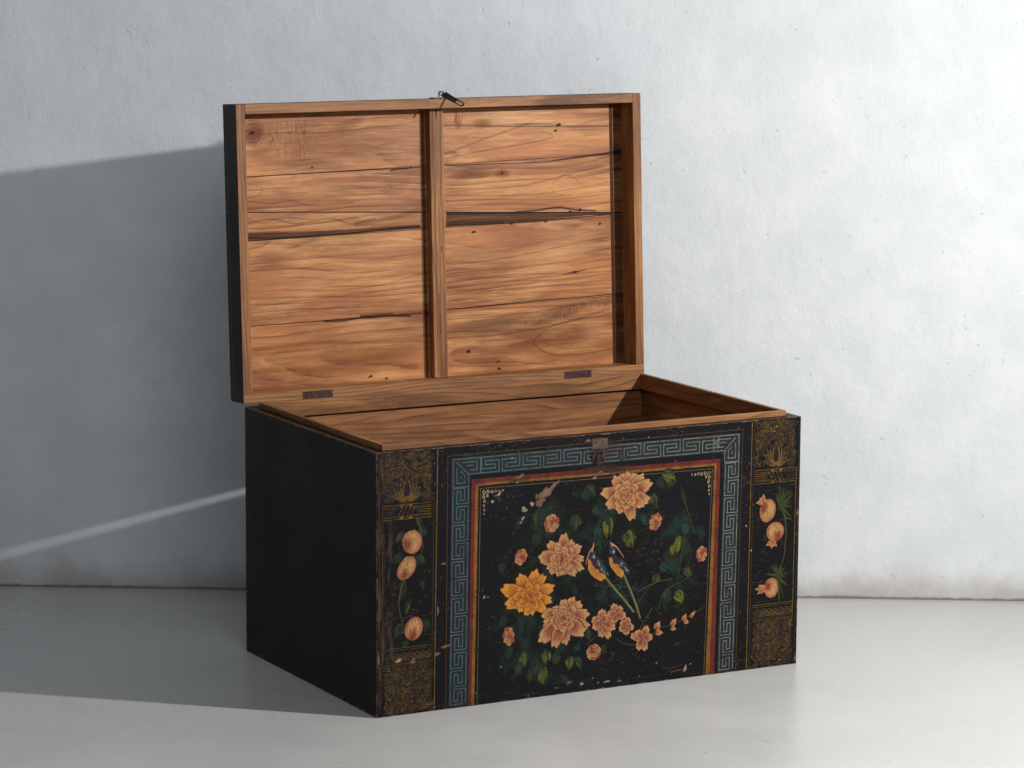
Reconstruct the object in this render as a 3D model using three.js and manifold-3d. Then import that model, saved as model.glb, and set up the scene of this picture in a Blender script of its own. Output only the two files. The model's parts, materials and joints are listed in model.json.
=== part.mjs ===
// A painted wooden chest with its lid open, its hinges, its lock plate and its hasp.
// X runs along the chest's width, Y along its depth with the painted front at the low end, and Z is up.
// The origin is the middle of the case's underside.
import * as THREE from 'three';
import { mergeVertices } from 'three/addons/utils/BufferGeometryUtils.js';
import Module from 'manifold-3d';

// Lengths are in millimetres and angles in degrees.

// Clearances
const fitGap = 0.3;
const boardGap = 0.6;
const overrun = 2;

// Case
const chestWidth = 1000;
const chestDepth = 640;
const caseHeight = 536;
const wallThickness = 22;
const fingerCount = 8;
const bottomThickness = 15;
const bottomBoardCount = 5;
const rabbetDepth = 10;
const lipThickness = 11;
const lipHeight = 35;
const lipProud = 11;

// Joints between a wall's boards, as shares of the case height at the low and the high X end
const frontJointShares = [[0.371, 0.371], [0.715, 0.715]];
const backJointShares = [[0.452, 0.447], [0.905, 0.890]];
const leftJointShares = [[0.331, 0.331], [0.668, 0.668]];
const rightJointShares = [[0.312, 0.312], [0.704, 0.704]];

// Lid
const lidHeight = 70;
const rimThickness = 21;
const panelThickness = 15;
const lidGap = 2;
const lidOpenAngle = 92.85;
const lidBackRound = 9;
const lidFrontRound = 4;
const roundSteps = 5;
const battenWidth = 34;
const battenThickness = 21;
const battenShift = -5;

// Joints between the panel's boards, as shares of the lid's depth from the front at the low and the high X end
const panelJointShares = [[0.2464, 0.2153], [0.3611, 0.427], [0.463, 0.437], [0.7515, 0.7218]];

// Hinges
const hingeInset = 175;
const leafLength = 71;
const leafWidth = 17;
const leafThickness = 2;
const leafProud = 0.8;
const knuckleCount = 5;
const pinSetback = 4;
const barrelRadius = 3.4;
const pinRadius = 1.6;
const pinHeadRadius = 2.4;
const pinHeadLength = 1.2;
const barrelSides = 20;
const leafNailShares = [0.12, 0.36, 0.88];

// Nails
const nailLength = 15;
const nailRadius = 1.4;
const nailHeadRadius = 3;
const nailHeadDepth = 1.6;
const nailPointLength = 1;
const nailSides = 12;

// Hasp plate and staple on the lid's front
const haspPlateWidth = 38;
const haspPlateHeight = 28;
const haspPlateThickness = 2;
const haspPlateRise = 14;
const haspPlateNailShift = 13;
const haspStapleShift = 1.5;
const haspStapleHeight = 10;
const haspStapleReach = 15.6;
const haspStapleCorner = 2.5;
const haspStapleWire = 1.2;
const stapleLegDepth = 14;
const wireSides = 8;
const staplePathSteps = 22;

// Link ring, hanging on the staple's lower leg and turned as the photographed strap lies
const linkRadius = 5.3;
const linkWire = 1;
const linkSides = 20;
const linkReach = 12.8;
const linkRise = 25.3;
const linkLooseness = 0.9;
const restDroop = 19.1;
const restTwist = -10.9;
const restRoll = -45;

// Hasp strap
const haspLength = 78;
const haspRootWidth = 14;
const haspTipWidth = 10;
const haspThickness = 2;
const haspEyeBore = 1.7;
const haspEyeWall = 1.6;
const haspEyeWidth = 3;
const haspTongueLength = 4;
const slotWidth = 6.2;
const slotStart = 50;
const slotLength = 24;

// Lock plate and staple on the case's front
const lockShift = 6;
const lockDrop = 46;
const lockPlateRadius = 17;
const lockPlateThickness = 2.5;
const lockPlateSides = 32;
const lockPlateNailShift = 12;
const lockStapleHeight = 15;
const lockStapleReach = 15;
const lockStapleCorner = 5;
const lockStapleWire = 1.6;

// Derived places
const halfWidth = chestWidth / 2;
const halfDepth = chestDepth / 2;
const hingeShift = halfWidth - hingeInset;
const lockHeight = caseHeight - lockDrop;
const pinHeight = caseHeight + lidGap / 2;
const pinBack = halfDepth + pinSetback;
const pinClearRadius = pinRadius + fitGap;
const wallInside = wallThickness + fitGap;

const paintedWood = new THREE.MeshStandardMaterial({ color: 0x4a2013, roughness: 0.45, metalness: 0 });
const bareWood = new THREE.MeshStandardMaterial({ color: 0xb0713a, roughness: 0.7, metalness: 0 });
const iron = new THREE.MeshStandardMaterial({ color: 0x3a3030, roughness: 0.5, metalness: 0.8 });

const wasm = await Module();
wasm.setup();

// Turns a closed geometry into a solid that can be joined and cut.
function solidOf(geometry) {
  const plain = geometry.clone();
  plain.deleteAttribute('normal');
  plain.deleteAttribute('uv');
  const merged = mergeVertices(plain);
  const vertProperties = new Float32Array(merged.attributes.position.array);
  const triVerts = new Uint32Array(merged.index.array);
  return new wasm.Manifold(new wasm.Mesh({ numProp: 3, vertProperties, triVerts }));
}

function geometryOf(solid) {
  const { vertProperties, triVerts } = solid.getMesh();
  const geometry = new THREE.BufferGeometry();
  geometry.setAttribute('position', new THREE.BufferAttribute(vertProperties, 3));
  geometry.setIndex(new THREE.BufferAttribute(triVerts, 1));
  const faceted = geometry.toNonIndexed();
  faceted.computeVertexNormals();
  return faceted;
}

function cut(base, cutters) {
  return geometryOf(cutters.reduce((solid, cutter) => solid.subtract(solidOf(cutter)), solidOf(base)));
}

function fuse(pieces) {
  return geometryOf(pieces.slice(1).reduce((solid, piece) => solid.add(solidOf(piece)), solidOf(pieces[0])));
}

function overlapOf(first, second) {
  return geometryOf(solidOf(first).intersect(solidOf(second)));
}

// A box between its low and high faces along each axis.
function block([xLow, xHigh], [yLow, yHigh], [zLow, zHigh]) {
  const geometry = new THREE.BoxGeometry(xHigh - xLow, yHigh - yLow, zHigh - zLow);
  return geometry.translate((xLow + xHigh) / 2, (yLow + yHigh) / 2, (zLow + zHigh) / 2);
}

function shapeOf(points) {
  return new THREE.Shape(points.map(([x, y]) => new THREE.Vector2(x, y)));
}

function extrude(shape, depth) {
  return new THREE.ExtrudeGeometry(shape, { depth, bevelEnabled: false, curveSegments: roundSteps });
}

// An outline drawn in X and Z, given a thickness along Y that starts at front.
function slabFacingFront(shape, front, thickness) {
  return extrude(shape, thickness).rotateX(Math.PI / 2).translate(0, front + thickness, 0);
}

// A rod along X, centred on the origin.
function rodAlongX(radius, length, sides) {
  return new THREE.CylinderGeometry(radius, radius, length, sides).rotateZ(Math.PI / 2);
}

// A rod along Y from the origin towards the high end.
function rodIntoWood(radius, depth) {
  return new THREE.CylinderGeometry(radius, radius, depth, nailSides).translate(0, depth / 2, 0);
}

// A countersunk nail driven down along Z, its flat head at the origin.
function nail(clearance) {
  const shank = nailRadius + clearance;
  const profile = [
    [0, -nailLength - clearance],
    [shank, nailPointLength - nailLength - clearance],
    [shank, -nailHeadDepth],
    [nailHeadRadius + clearance, 0],
    [0, 0],
  ];
  const points = profile.map(([radius, height]) => new THREE.Vector2(radius, height));
  return new THREE.LatheGeometry(points, nailSides).rotateX(Math.PI / 2);
}

// The hole that a nail needs, run out past its head.
function nailHole() {
  const mouth = new THREE.CylinderGeometry(nailHeadRadius + fitGap, nailHeadRadius + fitGap, overrun, nailSides);
  mouth.rotateX(Math.PI / 2).translate(0, 0, overrun / 2);
  return fuse([nail(fitGap), mouth]);
}

// The centre line of a U-shaped staple in the Y-Z plane: legs into the wood, nose towards the low end of Y.
class StapleLine extends THREE.Curve {
  constructor(height, reach, corner, legDepth) {
    super();
    const half = height / 2;
    this.outline = new THREE.Path();
    this.outline.moveTo(legDepth, -half);
    this.outline.absarc(corner - reach, corner - half, corner, -Math.PI / 2, -Math.PI, true);
    this.outline.absarc(corner - reach, half - corner, corner, Math.PI, Math.PI / 2, true);
    this.outline.lineTo(legDepth, half);
  }

  getPoint(share) {
    const { x, y } = this.outline.getPointAt(share);
    return new THREE.Vector3(0, x, y);
  }
}

function staple(height, reach, corner, wire) {
  const section = new THREE.Shape();
  section.absarc(0, 0, wire, 0, 2 * Math.PI);
  const line = new StapleLine(height, reach, corner, stapleLegDepth);
  const settings = { extrudePath: line, steps: staplePathSteps, curveSegments: wireSides / 2, bevelEnabled: false };
  return new THREE.ExtrudeGeometry(section, settings);
}

function mesh(name, geometry, material) {
  const piece = new THREE.Mesh(geometry, material);
  piece.name = name;
  return piece;
}

function group(name, position, children) {
  const made = new THREE.Group();
  made.name = name;
  made.position.set(...position);
  made.add(...children);
  return made;
}

// One end of a wall from low to high: the wall's own fingers reach the corner and the rest stops short of it.
function fingerSteps(low, high, halfLength, ownsTop) {
  const pitch = caseHeight / fingerCount;
  const steps = [];
  for (let finger = 0; finger < fingerCount; finger += 1) {
    const own = ((fingerCount - finger) % 2 === 1) === ownsTop;
    const trim = own ? fitGap / 2 : -fitGap / 2;
    const from = Math.max(low, finger === 0 ? 0 : finger * pitch + trim);
    const to = Math.min(high, finger === fingerCount - 1 ? caseHeight : (finger + 1) * pitch - trim);
    const reach = own ? halfLength : halfLength - wallInside;
    if (to > from) {
      steps.push([reach, from], [reach, to]);
    }
  }
  return steps;
}

// The boards of one wall, drawn with its outside facing the low end of Y and then turned into place.
function wall({ name, halfLength, halfAcross, jointShares, ownsTop, turn, cutters }) {
  const levels = [[0, 0], ...jointShares, [1, 1]];
  const boards = levels.slice(1).map((top, index) => {
    const bottom = levels[index];
    const edge = (shares, side, shift) => shares[side] * caseHeight + shift;
    const bottomShift = index === 0 ? 0 : boardGap / 2;
    const topShift = index === jointShares.length ? 0 : -boardGap / 2;
    const [left, right] = [0, 1].map((side) => (
      fingerSteps(edge(bottom, side, bottomShift), edge(top, side, topShift), halfLength, ownsTop)
    ));
    const mirrored = left.map(([x, z]) => [-x, z]).reverse();
    const board = slabFacingFront(shapeOf([...right, ...mirrored]), -halfAcross, wallThickness);
    const turnedCutters = cutters[index].map((cutter) => cutter.clone().rotateZ(-turn));
    return mesh(`${name}_board_${index + 1}`, cut(board, turnedCutters), paintedWood);
  });
  const made = group(`${name}_wall`, [0, 0, 0], boards);
  made.rotation.z = turn;
  return made;
}


// The rabbet for the bottom, cut round the inside of the lowest boards.
const bottomHalfWidth = halfWidth - wallThickness + rabbetDepth;
const bottomHalfDepth = halfDepth - wallThickness + rabbetDepth;
const rabbet = block(
  [-bottomHalfWidth - fitGap, bottomHalfWidth + fitGap],
  [-bottomHalfDepth - fitGap, bottomHalfDepth + fitGap],
  [-overrun, bottomThickness + fitGap],
);

// Places of the nails in one hinge leaf, in the hinge's frame, which has its pin along X.
const leafInnerEdge = -(pinSetback + leafWidth);
const leafOuterEdge = -(barrelRadius + fitGap);
const leafFace = lidGap / 2 - leafProud;
const leafNailLine = -(pinSetback + leafWidth / 2);
const leafNailPlaces = leafNailShares.map((share) => (share - 1 / 2) * leafLength);

// The hollow that one leaf and its nails need in the wood. The case's leaf faces up and the lid's down.
function leafSeat(facingUp) {
  const deep = leafFace + leafThickness + fitGap;
  const plate = block(
    [-leafLength / 2 - fitGap, leafLength / 2 + fitGap],
    [leafInnerEdge - fitGap, 0],
    [-deep, 0],
  );
  const holes = leafNailPlaces.map((place) => nailHole().translate(place, leafNailLine, -leafFace));
  return [plate, ...holes].map((cutter) => (facingUp ? cutter : flip(cutter)));
}

// Mirrors through the plane of the leaves by a half turn about the hinge's Y axis.
function flip(geometry) {
  return geometry.rotateY(Math.PI);
}

function hingeSeats(facingUp, y, z) {
  return [-hingeShift, hingeShift].flatMap((shift) => (
    leafSeat(facingUp).map((cutter) => cutter.translate(shift, y, z))
  ));
}

// One leaf with its knuckles, in the hinge's frame: the plate lies below the pin's plane.
function leaf(firstKnuckle) {
  const pitch = leafLength / knuckleCount;
  const bottom = -leafFace - leafThickness;
  const plate = block([-leafLength / 2, leafLength / 2], [leafInnerEdge, leafOuterEdge], [bottom, -leafFace]);
  const knuckles = [];
  for (let index = firstKnuckle; index < knuckleCount; index += 2) {
    const centre = (index + 1 / 2) * pitch - leafLength / 2;
    const length = pitch - fitGap;
    const web = block([centre - length / 2, centre + length / 2], [leafOuterEdge - overrun, 0], [bottom, -leafFace]);
    knuckles.push(web, rodAlongX(barrelRadius, length, barrelSides).translate(centre, 0, 0));
  }
  const bore = rodAlongX(pinClearRadius, leafLength + overrun, barrelSides);
  const holes = leafNailPlaces.map((place) => nailHole().translate(place, leafNailLine, -leafFace));
  return cut(fuse([plate, ...knuckles]), [bore, ...holes]);
}

function hingePin() {
  const shank = rodAlongX(pinRadius, leafLength + fitGap + pinHeadLength, barrelSides);
  const headPlace = (leafLength + fitGap + pinHeadLength) / 2;
  const heads = [-headPlace, headPlace].map((place) => (
    rodAlongX(pinHeadRadius, pinHeadLength, barrelSides).translate(place, 0, 0)
  ));
  return fuse([shank, ...heads]);
}

function leafNails(prefix, flipped) {
  return leafNailPlaces.map((place, index) => {
    const piece = mesh(`${prefix}_nail_${index + 1}`, nail(0), iron);
    piece.position.set(flipped ? -place : place, leafNailLine, flipped ? leafFace : -leafFace);
    piece.rotation.y = flipped ? Math.PI : 0;
    return piece;
  });
}

// Bottom boards, side by side in the rabbet and running along the width.
function bottomBoards() {
  const pitch = (2 * bottomHalfDepth + boardGap) / bottomBoardCount;
  return Array.from({ length: bottomBoardCount }, (unused, index) => {
    const front = index * pitch - bottomHalfDepth;
    const board = block(
      [-bottomHalfWidth, bottomHalfWidth],
      [front, front + pitch - boardGap],
      [0, bottomThickness],
    );
    return mesh(`bottom_board_${index + 1}`, board, bareWood);
  });
}

// Strips round the inside of the case's mouth, which the lid's rim drops over.
function lips() {
  const x = halfWidth - wallInside;
  const y = halfDepth - wallInside;
  const height = [caseHeight + lipProud - lipHeight, caseHeight + lipProud];
  const sideEnds = [-y + lipThickness + fitGap, y - lipThickness - fitGap];
  return [
    mesh('front_lip', block([-x, x], [-y, -y + lipThickness], height), bareWood),
    mesh('back_lip', block([-x, x], [y - lipThickness, y], height), bareWood),
    mesh('left_lip', block([-x, -x + lipThickness], sideEnds, height), bareWood),
    mesh('right_lip', block([x - lipThickness, x], sideEnds, height), bareWood),
  ];
}

// Holes in the wood behind a plate: two staple legs and two nails, facing the low end of Y.
function plateHoles(x, face, z, stapleHeight, wire, nailShift) {
  const front = face - overrun;
  const depth = stapleLegDepth + fitGap - halfDepth - front;
  const legs = [-stapleHeight / 2, stapleHeight / 2].map((shift) => (
    rodIntoWood(wire + fitGap, depth).translate(x, front, z + shift)
  ));
  const nails = [-nailShift, nailShift].map((shift) => (
    nailHole().rotateX(Math.PI / 2).translate(x + shift, face, z)
  ));
  return [...legs, ...nails];
}

function plateNails(prefix, x, face, z, nailShift) {
  return [-nailShift, nailShift].map((shift, index) => {
    const piece = mesh(`${prefix}_nail_${index + 1}`, nail(0), iron);
    piece.position.set(x + shift, face, z);
    piece.rotation.x = Math.PI / 2;
    return piece;
  });
}

const lockFace = -halfDepth - fitGap - lockPlateThickness;
const lockHoles = plateHoles(
  lockShift, lockFace, lockHeight, lockStapleHeight, lockStapleWire, lockPlateNailShift,
);

function lock() {
  const disc = new THREE.CylinderGeometry(lockPlateRadius, lockPlateRadius, lockPlateThickness, lockPlateSides);
  disc.translate(lockShift, lockFace + lockPlateThickness / 2, lockHeight);
  const loop = staple(lockStapleHeight, lockStapleReach, lockStapleCorner, lockStapleWire);
  const lockStaple = mesh('lock_staple', loop, iron);
  lockStaple.position.set(lockShift, -halfDepth, lockHeight);
  return [
    mesh('lock_plate', cut(disc, lockHoles), iron),
    lockStaple,
    ...plateNails('lock_plate', lockShift, lockFace, lockHeight, lockPlateNailShift),
  ];
}

// The lid's own frame has its origin under the middle of the rim, with the lid shut.
const panelBottom = lidHeight - panelThickness;
const haspFace = -halfDepth - fitGap - haspPlateThickness;
const linkClear = haspStapleWire + linkWire + linkLooseness;
const haspLegHeight = linkRise - linkClear;
const haspStapleCentre = haspLegHeight + haspStapleHeight / 2;
const haspHoles = plateHoles(
  haspStapleShift, haspFace, haspStapleCentre, haspStapleHeight, haspStapleWire, haspPlateNailShift,
);

// The panel's top face, with its front and back edges rounded, as an outline in Y and Z drawn out along X.
function panelEnvelope() {
  const outline = new THREE.Shape();
  outline.moveTo(-halfDepth, panelBottom);
  outline.lineTo(halfDepth, panelBottom);
  outline.absarc(halfDepth - lidBackRound, lidHeight - lidBackRound, lidBackRound, 0, Math.PI / 2);
  outline.absarc(lidFrontRound - halfDepth, lidHeight - lidFrontRound, lidFrontRound, Math.PI / 2, Math.PI);
  const turn = new THREE.Matrix4().makeBasis(
    new THREE.Vector3(0, 1, 0), new THREE.Vector3(0, 0, 1), new THREE.Vector3(1, 0, 0),
  );
  return extrude(outline, chestWidth).applyMatrix4(turn).translate(-halfWidth, 0, 0);
}

function panelBoards() {
  const levels = [[0, 0], ...panelJointShares, [1, 1]];
  const envelope = panelEnvelope();
  return levels.slice(1).map((back, index) => {
    const front = levels[index];
    const frontShift = index === 0 ? 0 : boardGap / 2;
    const backShift = index === panelJointShares.length ? 0 : -boardGap / 2;
    const place = (share, shift) => share * chestDepth - halfDepth + shift;
    const plan = shapeOf([
      [-halfWidth, place(front[0], frontShift)],
      [halfWidth, place(front[1], frontShift)],
      [halfWidth, place(back[1], backShift)],
      [-halfWidth, place(back[0], backShift)],
    ]);
    const board = overlapOf(extrude(plan, lidHeight), envelope);
    return mesh(`lid_board_${index + 1}`, board, paintedWood);
  });
}

function rims() {
  const height = [0, panelBottom - fitGap];
  const innerY = halfDepth - rimThickness;
  const innerX = halfWidth - rimThickness;
  const sideEnds = [-halfDepth, innerY - fitGap];
  const front = block([fitGap - innerX, innerX - fitGap], [-halfDepth, -innerY], height);
  const back = block([-halfWidth, halfWidth], [innerY, halfDepth], height);
  const pinPlace = pinHeight - caseHeight - lidGap;
  return [
    mesh('lid_rim_front', cut(front, haspHoles), paintedWood),
    mesh('lid_rim_back', cut(back, hingeSeats(false, pinBack, pinPlace)), paintedWood),
    mesh('lid_rim_left', block([-halfWidth, -innerX], sideEnds, height), paintedWood),
    mesh('lid_rim_right', block([innerX, halfWidth], sideEnds, height), paintedWood),
  ];
}

function batten() {
  const reach = halfDepth - rimThickness - fitGap;
  const top = panelBottom - fitGap;
  const bar = block(
    [battenShift - battenWidth / 2, battenShift + battenWidth / 2],
    [-reach, reach],
    [top - battenThickness, top],
  );
  return mesh('lid_batten', bar, bareWood);
}

// The strap of the hasp, in a frame with its eye along X at the origin and the strap hanging down.
const haspEyeRadius = haspEyeBore + haspEyeWall;
const haspFaceShift = haspEyeRadius - haspThickness / 2;

function haspStrap() {
  const rootHalf = haspRootWidth / 2;
  const tipHalf = haspTipWidth / 2;
  const outline = new THREE.Shape();
  outline.moveTo(-rootHalf, -haspTongueLength);
  outline.lineTo(-tipHalf, tipHalf - haspLength);
  outline.absarc(0, tipHalf - haspLength, tipHalf, Math.PI, 2 * Math.PI);
  outline.lineTo(rootHalf, -haspTongueLength);
  const slot = new THREE.Path();
  const slotHalf = slotWidth / 2;
  slot.absarc(0, -slotStart - slotHalf, slotHalf, 0, Math.PI);
  slot.absarc(0, slotHalf - slotStart - slotLength, slotHalf, Math.PI, 2 * Math.PI);
  outline.holes.push(slot);
  const strap = slabFacingFront(outline, -haspEyeRadius, haspThickness);
  const tongue = block(
    [-haspEyeWidth / 2, haspEyeWidth / 2],
    [-haspEyeRadius, haspThickness - haspEyeRadius],
    [-haspTongueLength - overrun, 0],
  );
  const eye = rodAlongX(haspEyeRadius, haspEyeWidth, barrelSides);
  const bore = rodAlongX(haspEyeBore, haspEyeWidth + overrun, barrelSides);
  return cut(fuse([strap, tongue, eye]), [bore]);
}

function haspPlate() {
  const plate = block(
    [haspStapleShift - haspPlateWidth / 2, haspStapleShift + haspPlateWidth / 2],
    [haspFace, haspFace + haspPlateThickness],
    [haspPlateRise, haspPlateRise + haspPlateHeight],
  );
  return mesh('hasp_plate', cut(plate, haspHoles), iron);
}

// The link ring turns about the middle of its own upper wire, where the staple holds it.
function haspChain() {
  const ring = new THREE.TorusGeometry(linkRadius, linkWire, wireSides, linkSides);
  ring.rotateX(Math.PI / 2).translate(0, 0, -linkRadius);
  const strapFrame = group('hasp_frame', [0, 0, -2 * linkRadius], [mesh('hasp', haspStrap(), iron)]);
  const ringMesh = mesh('hasp_ring', ring, iron);
  const place = [haspStapleShift, -halfDepth - linkReach, linkRise];
  const ringFrame = group('hasp_ring_frame', place, [ringMesh, strapFrame]);
  const [droop, twist, roll] = [restDroop, restTwist, restRoll].map(THREE.MathUtils.degToRad);
  ringFrame.rotation.set(droop, twist, roll, 'YXZ');
  return ringFrame;
}

function lid() {
  const loop = staple(haspStapleHeight, haspStapleReach, haspStapleCorner, haspStapleWire);
  const haspStaple = mesh('hasp_staple', loop, iron);
  haspStaple.position.set(haspStapleShift, -halfDepth, haspStapleCentre);
  const wood = [...rims(), ...panelBoards(), batten()];
  const hasp = [
    haspPlate(),
    haspStaple,
    ...plateNails('hasp_plate', haspStapleShift, haspFace, haspStapleCentre, haspPlateNailShift),
    haspChain(),
  ];
  const body = group('lid_frame', [0, -pinBack, caseHeight + lidGap - pinHeight], [...wood, ...hasp]);
  const leaves = ['left', 'right'].map((side, index) => {
    const shift = index === 0 ? -hingeShift : hingeShift;
    const lidLeaf = mesh(`${side}_hinge_lid_leaf`, flip(leaf(1)), iron);
    return group(`${side}_lid_leaf_frame`, [shift, 0, 0], [lidLeaf, ...leafNails(`${side}_lid_leaf`, true)]);
  });
  const turning = group('lid_hinge_frame', [0, pinBack, pinHeight], [body, ...leaves]);
  turning.rotation.x = -THREE.MathUtils.degToRad(lidOpenAngle);
  return turning;
}

function caseHinges() {
  return ['left', 'right'].map((side, index) => {
    const shift = index === 0 ? -hingeShift : hingeShift;
    return group(`${side}_hinge_frame`, [shift, pinBack, pinHeight], [
      mesh(`${side}_hinge_case_leaf`, leaf(0), iron),
      mesh(`${side}_hinge_pin`, hingePin(), iron),
      ...leafNails(`${side}_case_leaf`, false),
    ]);
  });
}

const walls = [
  {
    name: 'front',
    halfLength: halfWidth,
    halfAcross: halfDepth,
    jointShares: frontJointShares,
    ownsTop: true,
    turn: 0,
    cutters: [[rabbet], [], lockHoles],
  },
  {
    name: 'back',
    halfLength: halfWidth,
    halfAcross: halfDepth,
    jointShares: backJointShares.map(([low, high]) => [high, low]),
    ownsTop: true,
    turn: Math.PI,
    cutters: [[rabbet], [], hingeSeats(true, pinBack, pinHeight)],
  },
  {
    name: 'left',
    halfLength: halfDepth,
    halfAcross: halfWidth,
    jointShares: leftJointShares,
    ownsTop: false,
    turn: -Math.PI / 2,
    cutters: [[rabbet], [], []],
  },
  {
    name: 'right',
    halfLength: halfDepth,
    halfAcross: halfWidth,
    jointShares: rightJointShares,
    ownsTop: false,
    turn: Math.PI / 2,
    cutters: [[rabbet], [], []],
  },
];

const chest = group('chest', [0, 0, 0], [
  ...walls.map(wall),
  ...bottomBoards(),
  ...lips(),
  ...caseHinges(),
  ...lock(),
  lid(),
]);

export default chest;
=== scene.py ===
import bpy
import json
import math
import random
from mathutils import Matrix, Vector


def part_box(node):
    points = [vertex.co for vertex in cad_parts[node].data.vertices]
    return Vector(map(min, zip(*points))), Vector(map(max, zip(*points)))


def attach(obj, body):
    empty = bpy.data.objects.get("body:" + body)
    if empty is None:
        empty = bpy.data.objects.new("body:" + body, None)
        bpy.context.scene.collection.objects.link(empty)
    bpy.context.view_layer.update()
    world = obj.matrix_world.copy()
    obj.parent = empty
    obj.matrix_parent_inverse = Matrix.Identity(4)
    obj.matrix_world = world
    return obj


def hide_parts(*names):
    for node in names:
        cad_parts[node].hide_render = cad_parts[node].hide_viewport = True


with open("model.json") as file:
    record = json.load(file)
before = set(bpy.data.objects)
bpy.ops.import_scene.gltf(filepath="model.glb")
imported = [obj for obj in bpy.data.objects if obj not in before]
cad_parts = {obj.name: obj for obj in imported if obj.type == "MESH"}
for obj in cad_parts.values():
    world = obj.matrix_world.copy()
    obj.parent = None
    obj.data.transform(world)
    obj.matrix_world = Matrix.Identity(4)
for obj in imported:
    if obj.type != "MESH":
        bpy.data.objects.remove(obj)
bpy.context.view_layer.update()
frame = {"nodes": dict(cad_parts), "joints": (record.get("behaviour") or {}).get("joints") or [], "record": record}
MM = 0.001
X, Y, Z = Vector((1, 0, 0)), Vector((0, 1, 0)), Vector((0, 0, 1))

# The case, the lid and the painted front, from the frame

front_low, front_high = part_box("front_board_1")
case_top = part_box("front_board_3")[1].z
half_width, half_depth, front_face = front_high.x, -front_low.y, front_low.y
lid_joint = next(joint for joint in frame["joints"] if joint["name"] == "lid_hinge")
lid_pin = Vector(lid_joint["pos_m"])
lid_angle = math.radians(lid_joint["range_deg"][1])
to_shut = Matrix.Translation(lid_pin) @ Matrix.Rotation(lid_angle, 4, "X") @ Matrix.Translation(-lid_pin)
to_open = to_shut.inverted()
rim_foot = case_top + 2 * (lid_pin.z - case_top)

slot_of = {part["node"]: part["material_slot"] for part in frame["record"]["subparts"]}
body_of = {
    name: body for body, names in frame["record"]["behaviour"]["bodies"].items() for name in names
}


def colour(code):
    """A linear colour from the usual six-digit code."""
    parts = [int(code[index:index + 2], 16) / 255 for index in (0, 2, 4)]
    linear = [part / 12.92 if part <= 0.04045 else ((part + 0.055) / 1.055) ** 2.4 for part in parts]
    return (*linear, 1.0)


# Camera and light. The camera was solved on the chest's corners in the photograph.

camera_place = (-3.217099, -5.847013, 1.626723)
camera_yaw, camera_pitch, camera_roll = 0.499995, 0.153357, 0.006099
focal_pixels, picture_pixels, sensor_width = 3175.129866, 1024, 36


def place_camera():
    turn = Matrix.Rotation(camera_roll, 3, "Y") @ Matrix.Rotation(camera_pitch, 3, "X")
    right, forward, up = turn @ Matrix.Rotation(camera_yaw, 3, "Z")
    data = bpy.data.cameras.new("camera")
    data.sensor_width = sensor_width
    data.lens = sensor_width * focal_pixels / picture_pixels
    data.clip_end = 100
    camera = bpy.data.objects.new("camera", data)
    bpy.context.scene.collection.objects.link(camera)
    pose = Matrix((right, up, -forward)).transposed().to_4x4()
    pose.translation = camera_place
    camera.matrix_world = pose
    bpy.context.scene.camera = camera


def place_lamp(name, place, target, power, size, tint):
    data = bpy.data.lights.new(name, "AREA")
    data.shape = "DISK"
    data.size = size
    data.energy = power
    data.color = tint
    lamp = bpy.data.objects.new(name, data)
    lamp.location = place
    lamp.rotation_euler = (Vector(target) - Vector(place)).to_track_quat("-Z", "Y").to_euler()
    bpy.context.scene.collection.objects.link(lamp)


def light_world(tint, strength):
    world = bpy.data.worlds.new("studio")
    world.use_nodes = True
    background = world.node_tree.nodes["Background"].inputs
    background["Color"].default_value = tint
    background["Strength"].default_value = strength
    bpy.context.scene.world = world


bpy.context.scene.view_settings.view_transform = "Standard"
place_camera()
place_lamp("key", (1.412, -2.078, 1.839), (-0.99, -0.88, 0.49), 98, 0.07, (1.0, 0.985, 0.965))
place_lamp("fill", (-1.4, -4.6, 3.6), (0.0, 0.0, 0.5), 44, 2.6, (0.92, 0.96, 1.0))
light_world((0.86, 0.93, 1.0, 1.0), 0.2)


# Node helpers

def feed(socket, value):
    """Links a socket to another node's output, or sets its own value."""
    if isinstance(value, bpy.types.NodeSocket):
        socket.id_data.links.new(value, socket)
    else:
        socket.default_value = value


def node(tree, kind, settings=None, **sockets):
    """A node with its settings and its inputs; i0, i1 and so on name an input by its number."""
    made = tree.nodes.new(kind)
    for key, value in (settings or {}).items():
        setattr(made, key, value)
    for key, value in sockets.items():
        feed(made.inputs[int(key[1:]) if key[0] == "i" and key[1:].isdigit() else key], value)
    return made


def use(tree, group, **sockets):
    made = tree.nodes.new("ShaderNodeGroup")
    made.node_tree = group
    for key, value in sockets.items():
        feed(made.inputs[key.replace("_", " ")], value)
    return made.outputs


def dress(shader, **sockets):
    for key, value in sockets.items():
        feed(shader.inputs[key.replace("_", " ")], value)


def tree_of(*values):
    """The node tree of the first of these values that is an output and not a number."""
    return next(value.id_data for value in values if isinstance(value, bpy.types.NodeSocket))


def material(name):
    made = bpy.data.materials.new(name)
    made.use_nodes = True
    return made, made.node_tree, made.node_tree.nodes["Principled BSDF"]


def calc(operation, first, second=0.0, third=0.0):
    tree = tree_of(first, second)
    return node(tree, "ShaderNodeMath", {"operation": operation}, i0=first, i1=second, i2=third).outputs[0]


def plus(first, second):
    return calc("ADD", first, second)


def minus(first, second):
    return calc("SUBTRACT", first, second)


def times(first, second):
    return calc("MULTIPLY", first, second)


def vector_calc(operation, first, second):
    return node(first.id_data, "ShaderNodeVectorMath", {"operation": operation}, i0=first, i1=second).outputs


def stretch(place, scale):
    return vector_calc("MULTIPLY", place, scale)["Vector"]


def mix(factor, first, second, blend="MIX"):
    settings = {"data_type": "RGBA", "blend_type": blend}
    return node(factor.id_data, "ShaderNodeMix", settings, i0=factor, i6=first, i7=second).outputs[2]


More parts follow.
